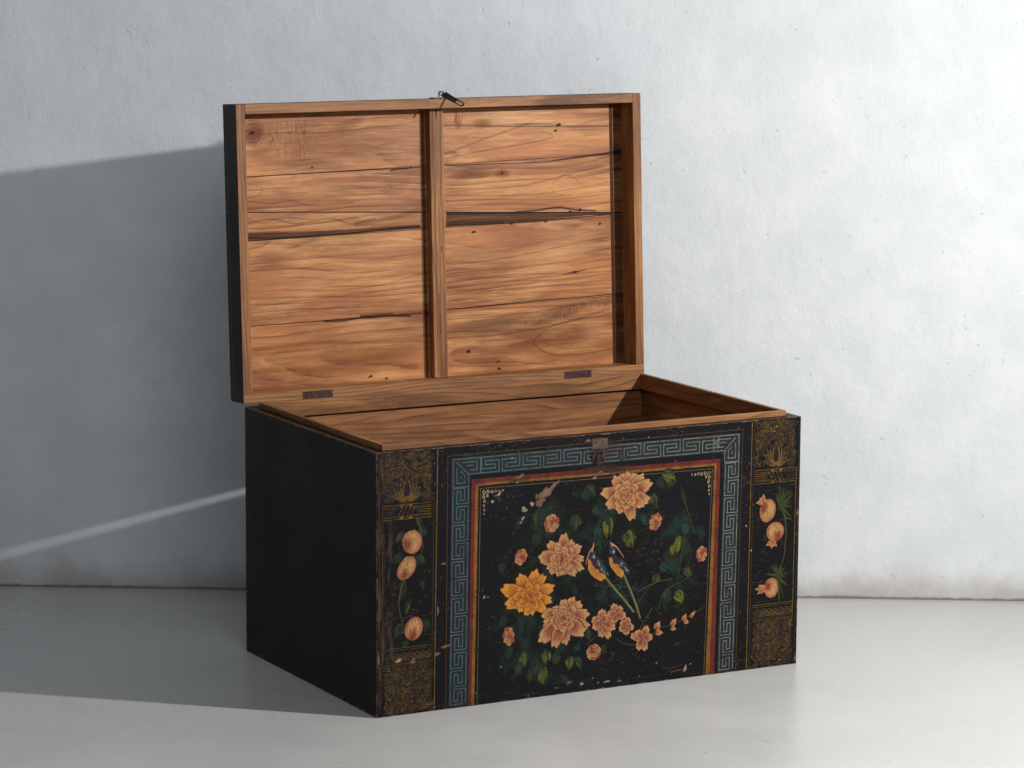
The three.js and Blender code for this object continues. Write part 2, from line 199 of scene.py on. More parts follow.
def glaze(base, code, mask, strength, blend="MIX"):
    """A colour laid over the base where the mask says so, as strongly as given."""
    return mix(times(mask, strength), base, colour(code), blend)


def noise(place, scale, detail, rough=0.55, warp=0.0):
    return node(place.id_data, "ShaderNodeTexNoise", None, Vector=place, Scale=scale, Detail=detail,
                Roughness=rough, Distortion=warp).outputs[0]


def step(value, low, high, to_low=0.0, to_high=1.0):
    """A soft step: to_low where the value is under low, to_high where it is over high."""
    settings = {"interpolation_type": "SMOOTHSTEP", "clamp": True}
    return node(value.id_data, "ShaderNodeMapRange", settings,
                i0=value, i1=low, i2=high, i3=to_low, i4=to_high).outputs[0]


def bump(height, strength, distance):
    return node(height.id_data, "ShaderNodeBump", None,
                Height=height, Strength=strength, Distance=distance).outputs[0]


def axes_of(place):
    return node(place.id_data, "ShaderNodeSeparateXYZ", None, Vector=place).outputs


def object_place(tree):
    return tree.nodes.new("ShaderNodeTexCoord").outputs["Object"]


def stored(tree, name):
    """What a mesh stores at each point under this name."""
    return node(tree, "ShaderNodeAttribute", {"attribute_name": name}).outputs


def group_of(name, inputs, outputs):
    """A group whose inputs are a place, given as None, and numbers with what they are by default."""
    tree = bpy.data.node_groups.new(name, "ShaderNodeTree")
    for label, value in inputs.items():
        kind = "NodeSocketVector" if value is None else "NodeSocketFloat"
        socket = tree.interface.new_socket(label, in_out="INPUT", socket_type=kind)
        if value is not None:
            socket.default_value = value
    for label in outputs:
        tree.interface.new_socket(label, in_out="OUTPUT", socket_type="NodeSocketFloat")
    return tree, tree.nodes.new("NodeGroupInput").outputs, tree.nodes.new("NodeGroupOutput").inputs


# Shared effects

def make_grain_group():
    """Growth rings, fibres and slow tone changes of a sawn board. Place runs along the grain in X."""
    tree, given, out = group_of(
        "board grain", {"Place": None, "Ring Gap": 0.011, "Waviness": 0.012}, ("Rings", "Fibre", "Tone"))
    place = given["Place"]
    slow = noise(stretch(place, (0.9, 3.0, 3.0)), 1.0, 2.0)
    ripple = noise(stretch(place, (3.0, 12.0, 12.0)), 1.0, 2.0)
    parts = axes_of(place)
    across = plus(parts[1], times(slow, 0.07))
    below = plus(parts[2], calc("MULTIPLY_ADD", slow, 0.16, 0.012))
    radius = calc("SQRT", plus(times(across, across), times(below, below)))
    shake = times(minus(ripple, 0.5), given["Waviness"])
    turns = calc("DIVIDE", plus(radius, shake), given["Ring Gap"])
    share = calc("FRACT", turns)
    wide = times(calc("POWER", share, 3.0), step(share, 0.9, 1.0, 1.0, 0.0))
    line = noise(stretch(place, (1.6, 60.0, 60.0)), 1.0, 3.0, 0.6)
    feed(out["Rings"], times(wide, step(line, 0.42, 0.62, 0.25, 1.3)))
    feed(out["Fibre"], noise(stretch(place, (9.0, 330.0, 330.0)), 1.0, 4.0, 0.65))
    feed(out["Tone"], noise(stretch(place, (1.7, 8.0, 8.0)), 1.0, 4.0, 0.62))
    return tree


def make_wear_group():
    """Rubbed edges: where the rounded normal leaves the face's own, broken up by noise."""
    tree, given, out = group_of(
        "edge wear", {"Place": None, "Reach": 0.003, "Patches": 60.0, "Amount": 0.5}, ("Mask",))
    rounded = node(tree, "ShaderNodeBevel", {"samples": 6}, Radius=given["Reach"]).outputs[0]
    plain = tree.nodes.new("ShaderNodeNewGeometry").outputs["Normal"]
    turn = minus(1.0, vector_calc("DOT_PRODUCT", rounded, plain)["Value"])
    patches = noise(given["Place"], given["Patches"], 5.0, 0.7)
    broken = plus(times(turn, 2.4), times(patches, given["Amount"]))
    feed(out["Mask"], times(step(turn, 0.01, 0.06), step(broken, 0.34, 0.62)))
    return tree


def make_case_edge_group():
    """Rubbed edges of the closed case: how near a place on an outer face is to the case's own corners."""
    tree, given, out = group_of("case edge wear", {"Place": None, "Reach": 0.004}, ("Mask",))
    parts = axes_of(given["Place"])
    side = minus(half_width, calc("ABSOLUTE", parts[0]))
    front = minus(half_depth, calc("ABSOLUTE", parts[1]))
    level = calc("MINIMUM", parts[2], minus(case_top, parts[2]))
    near = calc("MAXIMUM", calc("MINIMUM", side, front),
                calc("MINIMUM", calc("MAXIMUM", side, front), level))
    rough = noise(given["Place"], 55.0, 6.0, 0.75)
    reach = times(given["Reach"], step(rough, 0.42, 0.75, 0.15, 3.0))
    worn = minus(1.0, calc("DIVIDE", near, reach))
    feed(out["Mask"], step(worn, 0.0, 0.25))
    return tree


def make_speck_group():
    """Small chips and dirt specks, with a soft cloud that says where they gather."""
    tree, given, out = group_of("specks", {"Place": None, "Scale": 220.0, "Spread": 0.66}, ("Mask", "Cloud"))
    chips = noise(given["Place"], given["Scale"], 2.0, 0.5)
    cloud = noise(given["Place"], 7.0, 4.0, 0.6)
    both = plus(chips, times(minus(cloud, 0.5), 0.35))
    feed(out["Mask"], step(minus(both, given["Spread"]), 0.0, 0.03))
    feed(out["Cloud"], cloud)
    return tree


grain_group = make_grain_group()
wear_group = make_wear_group()
speck_group = make_speck_group()
case_edge_group = make_case_edge_group()


# Finishes. grain is stored by lay_grain, paint by Coat.

def bare_wood(name, pale, mid, dark, ring_gap, gloss):
    """Unfinished planed boards, aged orange-brown, rubbed pale and shiny here and there."""
    made, tree, shader = material(name)
    along, place = stored(tree, "grain")["Vector"], object_place(tree)
    grain = use(tree, grain_group, Place=along, Ring_Gap=ring_gap)
    base = mix(step(grain["Tone"], 0.3, 0.7), colour(dark), colour(mid))
    rubbed = noise(stretch(along, (4.0, 26.0, 26.0)), 1.0, 6.0, 0.68, 0.5)
    base = mix(step(rubbed, 0.4, 0.74, 0.0, 0.75), base, colour(pale))
    base = glaze(base, dark, step(grain["Fibre"], 0.38, 0.72), 0.3)
    base = glaze(base, dark, grain["Rings"], 0.62, "MULTIPLY")
    base = glaze(base, dark, grain["Rings"], 0.3)
    stain = noise(place, 7.0, 5.0, 0.62, 0.6)
    base = glaze(base, dark, step(stain, 0.5, 0.78), 0.28)
    specks = use(tree, speck_group, Place=place, Scale=150.0, Spread=0.77)
    base = glaze(base, "2a160c", specks["Mask"], 0.6)
    worn = use(tree, wear_group, Place=place, Reach=0.0022, Patches=90.0, Amount=0.62)["Mask"]
    base = glaze(base, "5d3b22", worn, 0.45)
    height = minus(times(grain["Fibre"], 0.6), grain["Rings"])
    dress(shader, Base_Color=base, Specular_IOR_Level=0.35,
          Roughness=step(grain["Fibre"], 0.3, 0.8, gloss, gloss + 0.2),
          Normal=bump(height, 0.4, 0.0007))
    return made


def lacquered(name, body, under, reach, shine, amount=None):
    """Near-black lacquer over boards, rubbed through to brown wood at the edges, chipped and scratched.

    amount is how much of each board's edges is rubbed. Without it only the closed case's corners are.
    """
    made, tree, shader = material(name)
    place = object_place(tree)
    grain = use(tree, grain_group, Place=stored(tree, "grain")["Vector"], Ring_Gap=0.011)
    cloud = noise(place, 4.0, 5.0, 0.6)
    base = mix(step(cloud, 0.35, 0.75), colour(body), colour("0c0a09"))
    rubbed = times(step(grain["Fibre"], 0.52, 0.8), step(cloud, 0.42, 0.7))
    base = glaze(base, "35281f", rubbed, 0.35)
    specks = use(tree, speck_group, Place=place, Scale=190.0, Spread=0.7)
    base = glaze(base, "5a4a3e", specks["Mask"], 0.6)
    scuffs = use(tree, speck_group, Place=place, Scale=64.0, Spread=0.69)
    base = glaze(base, "46362c", scuffs["Mask"], 0.42)
    lines = noise(stretch(place, (60.0, 60.0, 900.0)), 1.0, 1.0)
    scratch = times(step(lines, 0.69, 0.74), step(specks["Cloud"], 0.46, 0.6))
    base = glaze(base, "6a5f58", scratch, 0.45)
    upright = noise(stretch(place, (700.0, 700.0, 30.0)), 1.0, 1.0)
    mark = times(step(upright, 0.72, 0.76), step(cloud, 0.5, 0.64))
    base = glaze(base, "5c5048", mark, 0.4)
    if amount is None:
        worn = use(tree, case_edge_group, Place=place, Reach=reach)["Mask"]
    else:
        worn = use(tree, wear_group, Place=place, Reach=reach, Patches=70.0, Amount=amount)["Mask"]
    height = minus(times(grain["Fibre"], 0.7), times(worn, 1.0))
    sheen = calc("MULTIPLY_ADD", cloud, 0.3, 0.3)
    dress(shader, Base_Color=mix(worn, base, colour(under)), Specular_IOR_Level=shine,
          Roughness=calc("MAXIMUM", sheen, times(worn, 0.8)),
          Normal=bump(height, 0.3, 0.0006))
    return made


def forged_iron(name, body, rust, bright):
    """Hammered iron, dark with a little rust and rubbed high spots."""
    made, tree, shader = material(name)
    place = object_place(tree)
    cloud = noise(place, 160.0, 5.0, 0.65)
    base = mix(step(cloud, 0.42, 0.66), colour(body), colour(rust))
    worn = use(tree, wear_group, Place=place, Reach=0.0008, Patches=400.0, Amount=0.7)["Mask"]
    dress(shader, Base_Color=glaze(base, bright, worn, 0.8),
          Roughness=step(cloud, 0.35, 0.7, 0.38, 0.72),
          Metallic=step(cloud, 0.45, 0.7, 0.85, 0.3),
          Normal=bump(cloud, 0.5, 0.0005))
    return made


def brushed_paint(name, wear, fade, gloss):
    """Old oil paint over the dark ground: brush marks, fine cracks, and worn places that show the ground."""
    made, tree, shader = material(name)
    paint, place = stored(tree, "paint"), object_place(tree)
    cloud = noise(place, 38.0, 5.0, 0.65)
    hairs = noise(stretch(place, (420.0, 420.0, 130.0)), 1.0, 4.0, 0.75)
    base = mix(step(hairs, 0.4, 0.75, 0.0, 0.55), paint["Color"], colour("1d1210"))
    base = mix(step(cloud, 0.3, 0.8, 0.0, fade), base, colour("1c1714"))
    rub = plus(noise(place, 260.0, 4.0, 0.7), times(cloud, 0.5))
    base = mix(step(rub, wear, wear + 0.07), base, colour("110f12"))
    dress(shader, Base_Color=base, Alpha=paint["Alpha"], Specular_IOR_Level=0.22,
          Roughness=step(hairs, 0.3, 0.8, gloss, gloss + 0.25),
          Normal=bump(hairs, 0.25, 0.0003))
    return made


def stained(name):
    """Dark or pale marks soaked into the wood, broken up along the grain."""
    made, tree, shader = material(name)
    paint = stored(tree, "paint")
    threads = noise(stretch(object_place(tree), (12.0, 260.0, 260.0)), 1.0, 4.0, 0.7)
    broken = step(threads, 0.4, 0.75, 0.0, 0.5)
    cover = times(paint["Alpha"], step(threads, 0.2, 0.55, 0.7, 1.0))
    dress(shader, Base_Color=mix(broken, paint["Color"], colour("3a2010"), "MULTIPLY"),
          Alpha=cover, Specular_IOR_Level=0.2, Roughness=0.6)
    return made


lid_wood = bare_wood("lid boards bare wood", "e2a868", "c07b45", "7c4421", 0.012, 0.42)
case_wood = bare_wood("case inside bare wood", "b27c4e", "96623c", "5a341c", 0.012, 0.42)
strip_wood = bare_wood("planed strips bare wood", "ba824e", "a06c3e", "623c20", 0.009, 0.5)
bottom_wood = bare_wood("bottom boards bare wood", "8f6038", "70462a", "452a18", 0.012, 0.55)
side_lacquer = lacquered("side lacquer", "140f0f", "5c4636", 0.0042, 0.15)
lid_lacquer = lacquered("lid lacquer", "151213", "5c4432", 0.005, 0.2, 0.72)
field_paint = lacquered("painted field", "0f0f14", "6b5040", 0.0012, 0.13)
dark_iron = forged_iron("forged iron", "2c2223", "44302c", "8a7c7c")
leaf_iron = forged_iron("hinge leaf iron", "43302f", "54382f", "a08a86")
nail_iron = forged_iron("nail iron", "241c1c", "36241e", "5c5250")
figure_paint = brushed_paint("figure paint", 0.92, 0.2, 0.4)
line_paint = brushed_paint("line paint", 0.84, 0.45, 0.38)
scroll_paint = brushed_paint("scroll gold paint", 0.82, 0.6, 0.38)
ground_shade = brushed_paint("foliage ground", 0.98, 0.5, 0.4)
wood_stain = stained("stains on bare wood")


# Boards and ironwork: softened copies of the solids, in their places

merge_reach = 0.02 * MM
flat_angle, board_corner, iron_corner, smooth_angle = (math.radians(angle) for angle in (0.5, 40, 50, 35))
board_edge, lid_board_edge, rim_edge, strip_edge = 0.22 * MM, 0.7 * MM, 0.9 * MM, 1.2 * MM
nail_edge, iron_edge = 0.1 * MM, 0.3 * MM
edge_slack = 1.2 * MM
lid_rim_depth = 55.5 * MM


def select_only(piece):
    bpy.ops.object.select_all(action="DESELECT")
    piece.select_set(True)
    bpy.context.view_layer.objects.active = piece


def soften(name, edge, corner):
    """A copy of one solid with its facets merged and its edges broken."""
    piece = bpy.data.objects.new(name + "_worn", frame["nodes"][name].data.copy())
    bpy.context.scene.collection.objects.link(piece)
    piece.data.materials.clear()
    select_only(piece)
    bpy.ops.object.mode_set(mode="EDIT")
    bpy.ops.mesh.select_all(action="SELECT")
    bpy.ops.mesh.remove_doubles(threshold=merge_reach)
    bpy.ops.mesh.dissolve_limited(angle_limit=flat_angle)
    bpy.ops.object.mode_set(mode="OBJECT")
    bevel = piece.modifiers.new("edges", "BEVEL")
    bevel.width = edge
    bevel.segments = 2
    bevel.limit_method = "ANGLE"
    bevel.angle_limit = corner
    bevel.use_clamp_overlap = True
    bpy.ops.object.modifier_apply(modifier="edges")
    bpy.ops.object.shade_smooth_by_angle(angle=smooth_angle)
    even = piece.modifiers.new("even", "WEIGHTED_NORMAL")
    even.keep_sharp = True
    bpy.ops.object.modifier_apply(modifier="even")
    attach(piece, body_of[name])
    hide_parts(name)
    return piece


def lay_grain(piece, along, across, seed):
    """Stores each point's place along, across and through its board, for the grain to follow."""
    through = along.cross(across)
    draw = random.Random(seed)
    shift = Vector((draw.uniform(0, 9), draw.uniform(-0.09, 0.09), draw.uniform(0.0, 0.03)))
    points = [vertex.co for vertex in piece.data.vertices]
    low, high = (Vector([pick(point[axis] for point in points) for axis in range(3)]) for pick in (min, max))
    middle = (low + high) / 2
    layer = piece.data.attributes.new("grain", "FLOAT_VECTOR", "POINT")
    for index, point in enumerate(points):
        away = point - middle
        layer.data[index].vector = Vector((away.dot(along), away.dot(across), away.dot(through))) + shift


def finish_faces(piece, finishes, choose=None):
    """Gives a piece its finishes; choose returns for a face the number of the one that it wears."""
    for finish in finishes:
        piece.data.materials.append(finish)
    if choose:
        for face in piece.data.polygons:
            face.material_index = choose(face.center, face.normal)


def case_face(centre, normal):
    """0 on the painted front, 1 on the other outer faces and the top edges, 2 inside."""
    on_front_face = centre.y < front_face + edge_slack
    if on_front_face and normal.y < -0.3:
        return 0
    outer = abs(centre.x) > half_width - edge_slack or centre.y > half_depth - edge_slack or on_front_face
    return 1 if outer or centre.z > case_top - edge_slack else 2


def lid_face(centre, normal):
    """1 on the lid's outer faces, 0 on its inside and on the face that meets the case."""
    shut = to_shut @ centre
    facing = to_shut.to_3x3() @ normal
    outer_side = abs(shut.x) > half_width - edge_slack or abs(shut.y) > half_depth - edge_slack
    if outer_side and facing.z > -0.8:
        return 1
    return 1 if shut.z > rim_foot + lid_rim_depth and facing.z > 0.3 else 0


lid_up, lid_out = to_open.to_3x3() @ Y, to_open.to_3x3() @ Z
walls = (("front", X), ("back", X), ("left", Y), ("right", Y))
case_finishes = [field_paint, side_lacquer, case_wood]
lid_finishes, rim_finishes = [lid_wood, lid_lacquer], [strip_wood, lid_lacquer]

# Each entry: name, broken edge, along and across the grain, finishes and what chooses between them
boards = [(f"{wall}_board_{number}", board_edge, along, Z, case_finishes, case_face)
          for wall, along in walls for number in (1, 2, 3)]
boards += [(f"bottom_board_{number}", board_edge, X, Y, [bottom_wood], None) for number in range(1, 6)]
boards += [(f"{wall}_lip", strip_edge, along, Z, [strip_wood], None) for wall, along in walls]
boards += [(f"lid_board_{number}", lid_board_edge, X, lid_up, lid_finishes, lid_face)
           for number in range(1, 6)]
boards += [(f"lid_rim_{side}", rim_edge, X if along == X else lid_up, lid_out, rim_finishes, lid_face)
           for side, along in walls]
boards.append(("lid_batten", strip_edge, lid_up, X, [strip_wood], None))
batten_seed = 40
for seed, (name, edge, along, across, finishes, choose) in enumerate(boards, 1):
    board = soften(name, edge, board_corner)
    lay_grain(board, along, across, batten_seed if name == "lid_batten" else seed)
    finish_faces(board, finishes, choose)

for name, slot in slot_of.items():
    if slot == "iron":
        nail = "nail" in name
        piece = soften(name, nail_edge if nail else iron_edge, iron_corner)
        finish_faces(piece, [nail_iron if nail else leaf_iron if "leaf" in name else dark_iron])


# Paintwork: thin coats laid on the boards. Their tables are in millimetres: X and Z on the front, and X
# and the height above the hinge line on the inside of the standing lid.

coat_depth, mark_depth, coat_lift = 0.7 * MM, 1.2 * MM, 0.03 * MM
paint_half_width, paint_foot, paint_top = 498.6, 1.4, 534.6
no_repeat = 10000
ease_steps, band_steps = 5, 24
tiny, least_area = 1e-9, 1e-6


def on_front(x, z, height):
    """A place on the painted front, kept inside its edges."""
    x, z = max(-paint_half_width, min(paint_half_width, x)), max(paint_foot, min(paint_top, z))
    return (x * MM, front_face - height, z * MM)


def inside_lid(name):
    """A function like on_front for the inner face of one piece of the lid."""
    under = min((to_shut @ vertex.co).z for vertex in frame["nodes"][name].data.vertices)
    return lambda x, up, height: tuple(to_open @ Vector((x * MM, -up * MM, under - height)))


def faded(tint, share):
    return (*tint[:3], share)


def blend_tint(first, second, share):
    return tuple(a + (b - a) * share for a, b in zip(first, second))


def between(first, second, share):
    return (first[0] + (second[0] - first[0]) * share, first[1] + (second[1] - first[1]) * share)


def around(centre, radius, angle, squeeze=1.0):
    turn = math.radians(angle)
    return (centre[0] + radius * math.cos(turn), centre[1] + radius * squeeze * math.sin(turn))


def leaning(centre, x, z, lean):
    """A place x and z away from the centre, along axes that lean by an angle in radians."""
    return (centre[0] + x * math.cos(lean) - z * math.sin(lean),
            centre[1] + x * math.sin(lean) + z * math.cos(lean))


def middle_of(places):
    return (sum(place[0] for place in places) / len(places), sum(place[1] for place in places) / len(places))


def eased(path):
    """A smooth curve through the points of a path."""
    made = []
    for index in range(len(path) - 1):
        spots = [path[min(len(path) - 1, max(0, index + shift))] for shift in (-1, 0, 1, 2)]
        for number in range(ease_steps):
            u = number / ease_steps
            weights = (-u ** 3 + 2 * u * u - u, 3 * u ** 3 - 5 * u * u + 2,
                       -3 * u ** 3 + 4 * u * u + u, u ** 3 - u * u)
            sums = (sum(weight * spot[axis] for weight, spot in zip(weights, spots)) for axis in (0, 1))
            made.append(tuple(total / 2 for total in sums))
    return made + [path[-1]]


def blob(centre, radius_x, radius_z, turn, rough, seed, steps=18):
    """The outline of an uneven oval."""
    draw = random.Random(seed)
    waves = [(draw.uniform(0.3, 1) * rough, draw.uniform(0, 6.3), count) for count in (2, 3, 5, 7)]
    made = []
    for index in range(steps):
        angle = 2 * math.pi * index / steps
        reach = 1 + sum(size / count ** 0.5 * math.cos(count * angle + phase) for size, phase, count in waves)
        x, z = radius_x * reach * math.cos(angle), radius_z * reach * math.sin(angle)
        made.append(leaning(centre, x, z, math.radians(turn)))
    return made


class Coat:
    """One piece of paintwork: strokes and patches with a colour at each point, closed to a thin film."""

    def __init__(self, name, finish, steps=16, under=None):
        """under names the piece of the lid that the coat lies on; without it the coat is on the front."""
        self.name = name
        self.finish = finish
        self.steps = steps
        self.on = inside_lid(under) if under else on_front
        self.body = body_of[under] if under else "case"
        self.slot = slot_of[under] if under else "painted_wood"
        self.depth = mark_depth if under else coat_depth
        self.gap = 0.11
        self.laid = 0
        self.flat = []
        self.points = []
        self.faces = []
        self.tints = []

    def put(self, places, tints, lift):
        """Adds points. Each stroke lies a hair above the one before, so that none share a plane."""
        start = len(self.points)
        height = (lift + self.gap * (self.laid % self.steps)) * coat_lift
        self.laid += 1
        self.flat += places
        self.points += [self.on(*place, height) for place in places]
        self.tints += tints
        return start

    def face(self, indices):
        """Adds a face, turned so that it looks out, unless it has no area."""
        flat = [self.flat[index] for index in indices]
        area = sum(a[0] * b[1] - b[0] * a[1] for a, b in zip(flat, flat[1:] + flat[:1]))
        if abs(area) > least_area:
            self.faces.append(indices if area > 0 else indices[::-1])

    def rows(self, start, count, wide):
        """Faces over rows of points: count gaps between rows, each row wide points across."""
        for row in range(start, start + wide * count, wide):
            for here in range(row, row + wide - 1):
                self.face([here + 1, here + wide + 1, here + wide, here])

    def stroke(self, path, width, tint, lift, tail=None):
        """A ribbon along a path. tail is the width at its far end; a list of two tints fades along it."""
        tint, tint_end = tint if isinstance(tint, list) else (tint, tint)
        count = len(path)
        tail = width if tail is None else tail
        places, shades = [], []
        for index, (x, z) in enumerate(path):
            normals = []
            for first, second in zip(path[max(0, index - 1):index + 1], path[max(1, index):index + 2]):
                run_x, run_z = second[0] - first[0], second[1] - first[1]
                run = math.hypot(run_x, run_z) or tiny
                normals.append((-run_z / run, run_x / run))
            total = [sum(normal[axis] for normal in normals) for axis in (0, 1)]
            size = math.hypot(*total) or tiny
            mitre = (total[0] / size, total[1] / size)
            reach = 1 / max(0.45, mitre[0] * normals[0][0] + mitre[1] * normals[0][1])
            share = index / max(1, count - 1)
            half = (width + (tail - width) * share) / 2 * reach
            places += [(x + side * mitre[0] * half, z + side * mitre[1] * half) for side in (1, -1)]
            shades += [blend_tint(tint, tint_end, share)] * 2
        self.rows(self.put(places, shades, lift), count - 1, 2)

    def smear(self, path, width, tint, lift, tail, share):
        """A ribbon that fades out at its two long edges. share is how much of its width keeps its tint."""
        tail = width if tail is None else tail
        clear = faded(tint, 0.0)
        path = eased(path)
        count = len(path)
        places, shades = [], []
        for index, (x, z) in enumerate(path):
            before, after = path[max(0, index - 1)], path[min(count - 1, index + 1)]
            run = math.hypot(after[0] - before[0], after[1] - before[1]) or tiny
            aside = (-(after[1] - before[1]) / run, (after[0] - before[0]) / run)
            half = (width + (tail - width) * index / max(1, count - 1)) / 2
            for reach, shade in ((1, clear), (share, tint), (-share, tint), (-1, clear)):
                places.append((x + aside[0] * half * reach, z + aside[1] * half * reach))
                shades.append(shade)
        self.rows(self.put(places, shades, lift), count - 1, 4)

    def band(self, outer, inner, tint, lift, seed):
        """A painted band between two lines, its edges a little unsteady."""
        draw = random.Random(seed)
        places = []
        for index in range(len(outer) - 1):
            for number in range(band_steps + (index == len(outer) - 2)):
                for line in (outer, inner):
                    x, z = between(line[index], line[index + 1], number / band_steps)
                    if number:
                        x, z = x + draw.uniform(-0.35, 0.35), z + draw.uniform(-0.35, 0.35)
                    places.append((x, z))
        shades = [blend_tint(tint, dark_rose, draw.uniform(0, 0.22)) for place in places]
        self.rows(self.put(places, shades, lift), len(places) // 2 - 1, 2)

    def patch(self, outline, rim, core, lift):
        """A filled outline, shaded from its core to its rim."""
        count = len(outline)
        middle = middle_of(outline)
        half = [between(middle, place, 0.6) for place in outline]
        shades = [core] + [blend_tint(core, rim, 0.4)] * count + [rim] * count
        start = self.put([middle] + half + list(outline), shades, lift)
        for index in range(count):
            here, after = start + 1 + index, start + 1 + (index + 1) % count
            self.face([start, here, after])
            self.face([here, here + count, after + count, after])

    def petal(self, root, tip, width, tints, lift, ruffle, waist, phase, pointed):
        """A petal or a leaf. tints are those of its root, its middle and its rim.

        ruffle makes its end wavy, waist is its width at the root, and pointed makes a leaf of it.
        """
        rows, columns = 9, 8 if pointed else 14
        run = (tip[0] - root[0], tip[1] - root[1])
        length = math.hypot(*run) or tiny
        ahead = (run[0] / length, run[1] / length)
        places, shades = [], []
        for row in range(rows + 1):
            share = row / rows
            if pointed:
                spread = waist * (1 - share) ** 2 + math.sin(math.pi * min(1, 0.08 + share * 0.86)) ** 0.8
            else:
                spread = waist + (1 - waist) * math.sin(min(1, share * 1.15) * math.pi / 2)
            for column in range(columns + 1):
                side = 2 * column / columns - 1
                if pointed:
                    drop = 0.16 * share * abs(side) ** 2.2
                else:
                    drop = 0.36 * share * (1 - math.sqrt(1 - 0.97 * side ** 2))
                wave = ruffle * share ** 2 * (abs(math.cos(1.05 * math.pi * side + phase)) - 0.6)
                forward = length * (share - drop + wave)
                out = side * spread * width / 2 * (1 if pointed else 1.04 - 0.2 * share ** 4)
                places.append((root[0] + ahead[0] * forward - ahead[1] * out,
                               root[1] + ahead[1] * forward + ahead[0] * out))
                rim = max(abs(side) ** 4, min(1.0, max(0.0, share - 0.56) * 2.6))
                streak = 0.3 * math.cos(9 * side + 3 * phase) * (1.15 - share)
                shade = blend_tint(tints[0], tints[1], min(1, max(0, share * 1.3 - 0.08 + streak)))
                shades.append(blend_tint(shade, tints[2], min(1.0, rim)))
        start = self.put(places, shades, lift)
        wide = columns + 1
        for row in range(start, start + rows * wide, wide):
            for here in range(row, row + columns):
                self.face([here, here + 1, here + wide + 1, here + wide])

    def wash(self, low, high, cell, dabs, lift):
        """One film on an even grid in which soft dabs blend.

        Each dab is (root, tip, width, tint), where the tint's last number is how well it covers.
        """
        columns, rows = (round((high[axis] - low[axis]) / cell) for axis in (0, 1))
        places = [(low[0] + column * cell, low[1] + row * cell)
                  for row in range(rows + 1) for column in range(columns + 1)]
        shades = [None] * len(places)
        for root, tip, width, tint in dabs:
            run = (tip[0] - root[0], tip[1] - root[1])
            length = math.hypot(*run) or tiny
            reach = length / 2 + width / 2
            middle = between(root, tip, 0.5)
            spans = [range(max(0, int((middle[axis] - reach - low[axis]) / cell)),
                           min(most, int((middle[axis] + reach - low[axis]) / cell) + 1) + 1)
                     for axis, most in ((0, columns), (1, rows))]
            for index in (row * (columns + 1) + column for row in spans[1] for column in spans[0]):
                away = (places[index][0] - middle[0], places[index][1] - middle[1])
                ahead = (away[0] * run[0] + away[1] * run[1]) / length / reach
                aside = (away[1] * run[0] - away[0] * run[1]) / length / (width / 2)
                cover = tint[3] * max(0.0, 1 - ahead ** 2 - aside ** 2) ** 0.7
                if cover > 0.01:
                    old = shades[index] or faded(tint, 0.0)
                    total = 1 - (1 - old[3]) * (1 - cover)
                    shades[index] = faded(blend_tint(old, tint, cover / total), total)
        clear = faded(dabs[0][3], 0.0)
        start = self.put(places, [shade or clear for shade in shades], lift)
        for corner in (row * (columns + 1) + column for row in range(rows) for column in range(columns)):
            corners = [corner, corner + 1, corner + columns + 2, corner + columns + 1]
            if any(shades[index] for index in corners):
                self.face([start + index for index in corners])

    def finish_piece(self):
        """Makes the coat's mesh, closes it to a film and says where it belongs."""
        mesh = bpy.data.meshes.new(self.name)
        mesh.from_pydata(self.points, [], self.faces)
        layer = mesh.color_attributes.new("paint", "FLOAT_COLOR", "POINT")
        for index, tint in enumerate(self.tints):
            layer.data[index].color = tint
        mesh.materials.append(self.finish)
        piece = bpy.data.objects.new(self.name, mesh)
        bpy.context.scene.collection.objects.link(piece)
        select_only(piece)
        bpy.ops.object.mode_set(mode="EDIT")
        bpy.ops.mesh.delete_loose()
        bpy.ops.object.mode_set(mode="OBJECT")
        solid = piece.modifiers.new("depth", "SOLIDIFY")
        solid.thickness = self.depth
        solid.offset = -1
        bpy.ops.object.modifier_apply(modifier="depth")
        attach(piece, self.body)


black = colour("110f12")
gold, dull_gold, ochre = colour("745318"), colour("4a3413"), colour("845a12")
red, dark_rose, line_rose = colour("6c2019"), colour("3a1214"), colour("522018")
rose, salmon, cream = colour("782628"), colour("925436"), colour("b68957")
orange_rose, orange, orange_rim = colour("883624"), colour("ac661c"), colour("c4842a")
olive, olive_light, dark_green = colour("4c4f14"), colour("74741c"), colour("16260f")
teal, dark_teal, stem_tint = colour("123029"), colour("0f211d"), colour("383a18")

# Borders and lines. Each leg is given at its top and its foot, because the painter's lines lean a little.

bands = Coat("red_and_ochre_bands", line_paint)
red_out = [(-294, 1), (-288.3, 466), (299.8, 461), (293, 1)]
red_in = [(-287.4, 1), (-279.3, 457.2), (290.8, 452.4), (281, 1)]
ochre_in = [(-280.5, 1), (-272.8, 451.8), (285.2, 447.2), (271.5, 1)]
bands.band(red_out, red_in, red, 4, 11)
bands.band(red_in, ochre_in, ochre, 4, 12)

lines = Coat("gold_lines", line_paint)
lines.stroke([(-274, 1), (-268, 446), (280.5, 441.5), (266.8, 1)], 1.1, colour("6a5a40"), 4)
lines.stroke([(-345.6, 1), (-342.3, 518), (354.6, 519), (346.4, 1)], 1.6, dull_gold, 4)
for top, foot, width, tint in (
    ((-365, 534), (-371.8, 2), 1.9, gold), ((-373, 434), (-378.5, 2), 1.0, dull_gold),
    ((377.8, 534), (373.2, 2), 1.8, gold), ((384, 534), (379, 2), 1.0, dull_gold),
    ((-487, 430), (-487, 100), 1.2, colour("5a4328")), ((491, 430), (487, 96), 1.3, colour("7a5a26")),
    ((-494, 526), (-494.5, 6), 0.9, colour("4a3826")), ((497, 520), (494, 6), 0.8, colour("4a3826")),
):
    lines.stroke([top, between(top, foot, 0.35), between(top, foot, 0.7), foot], width, tint, 4)

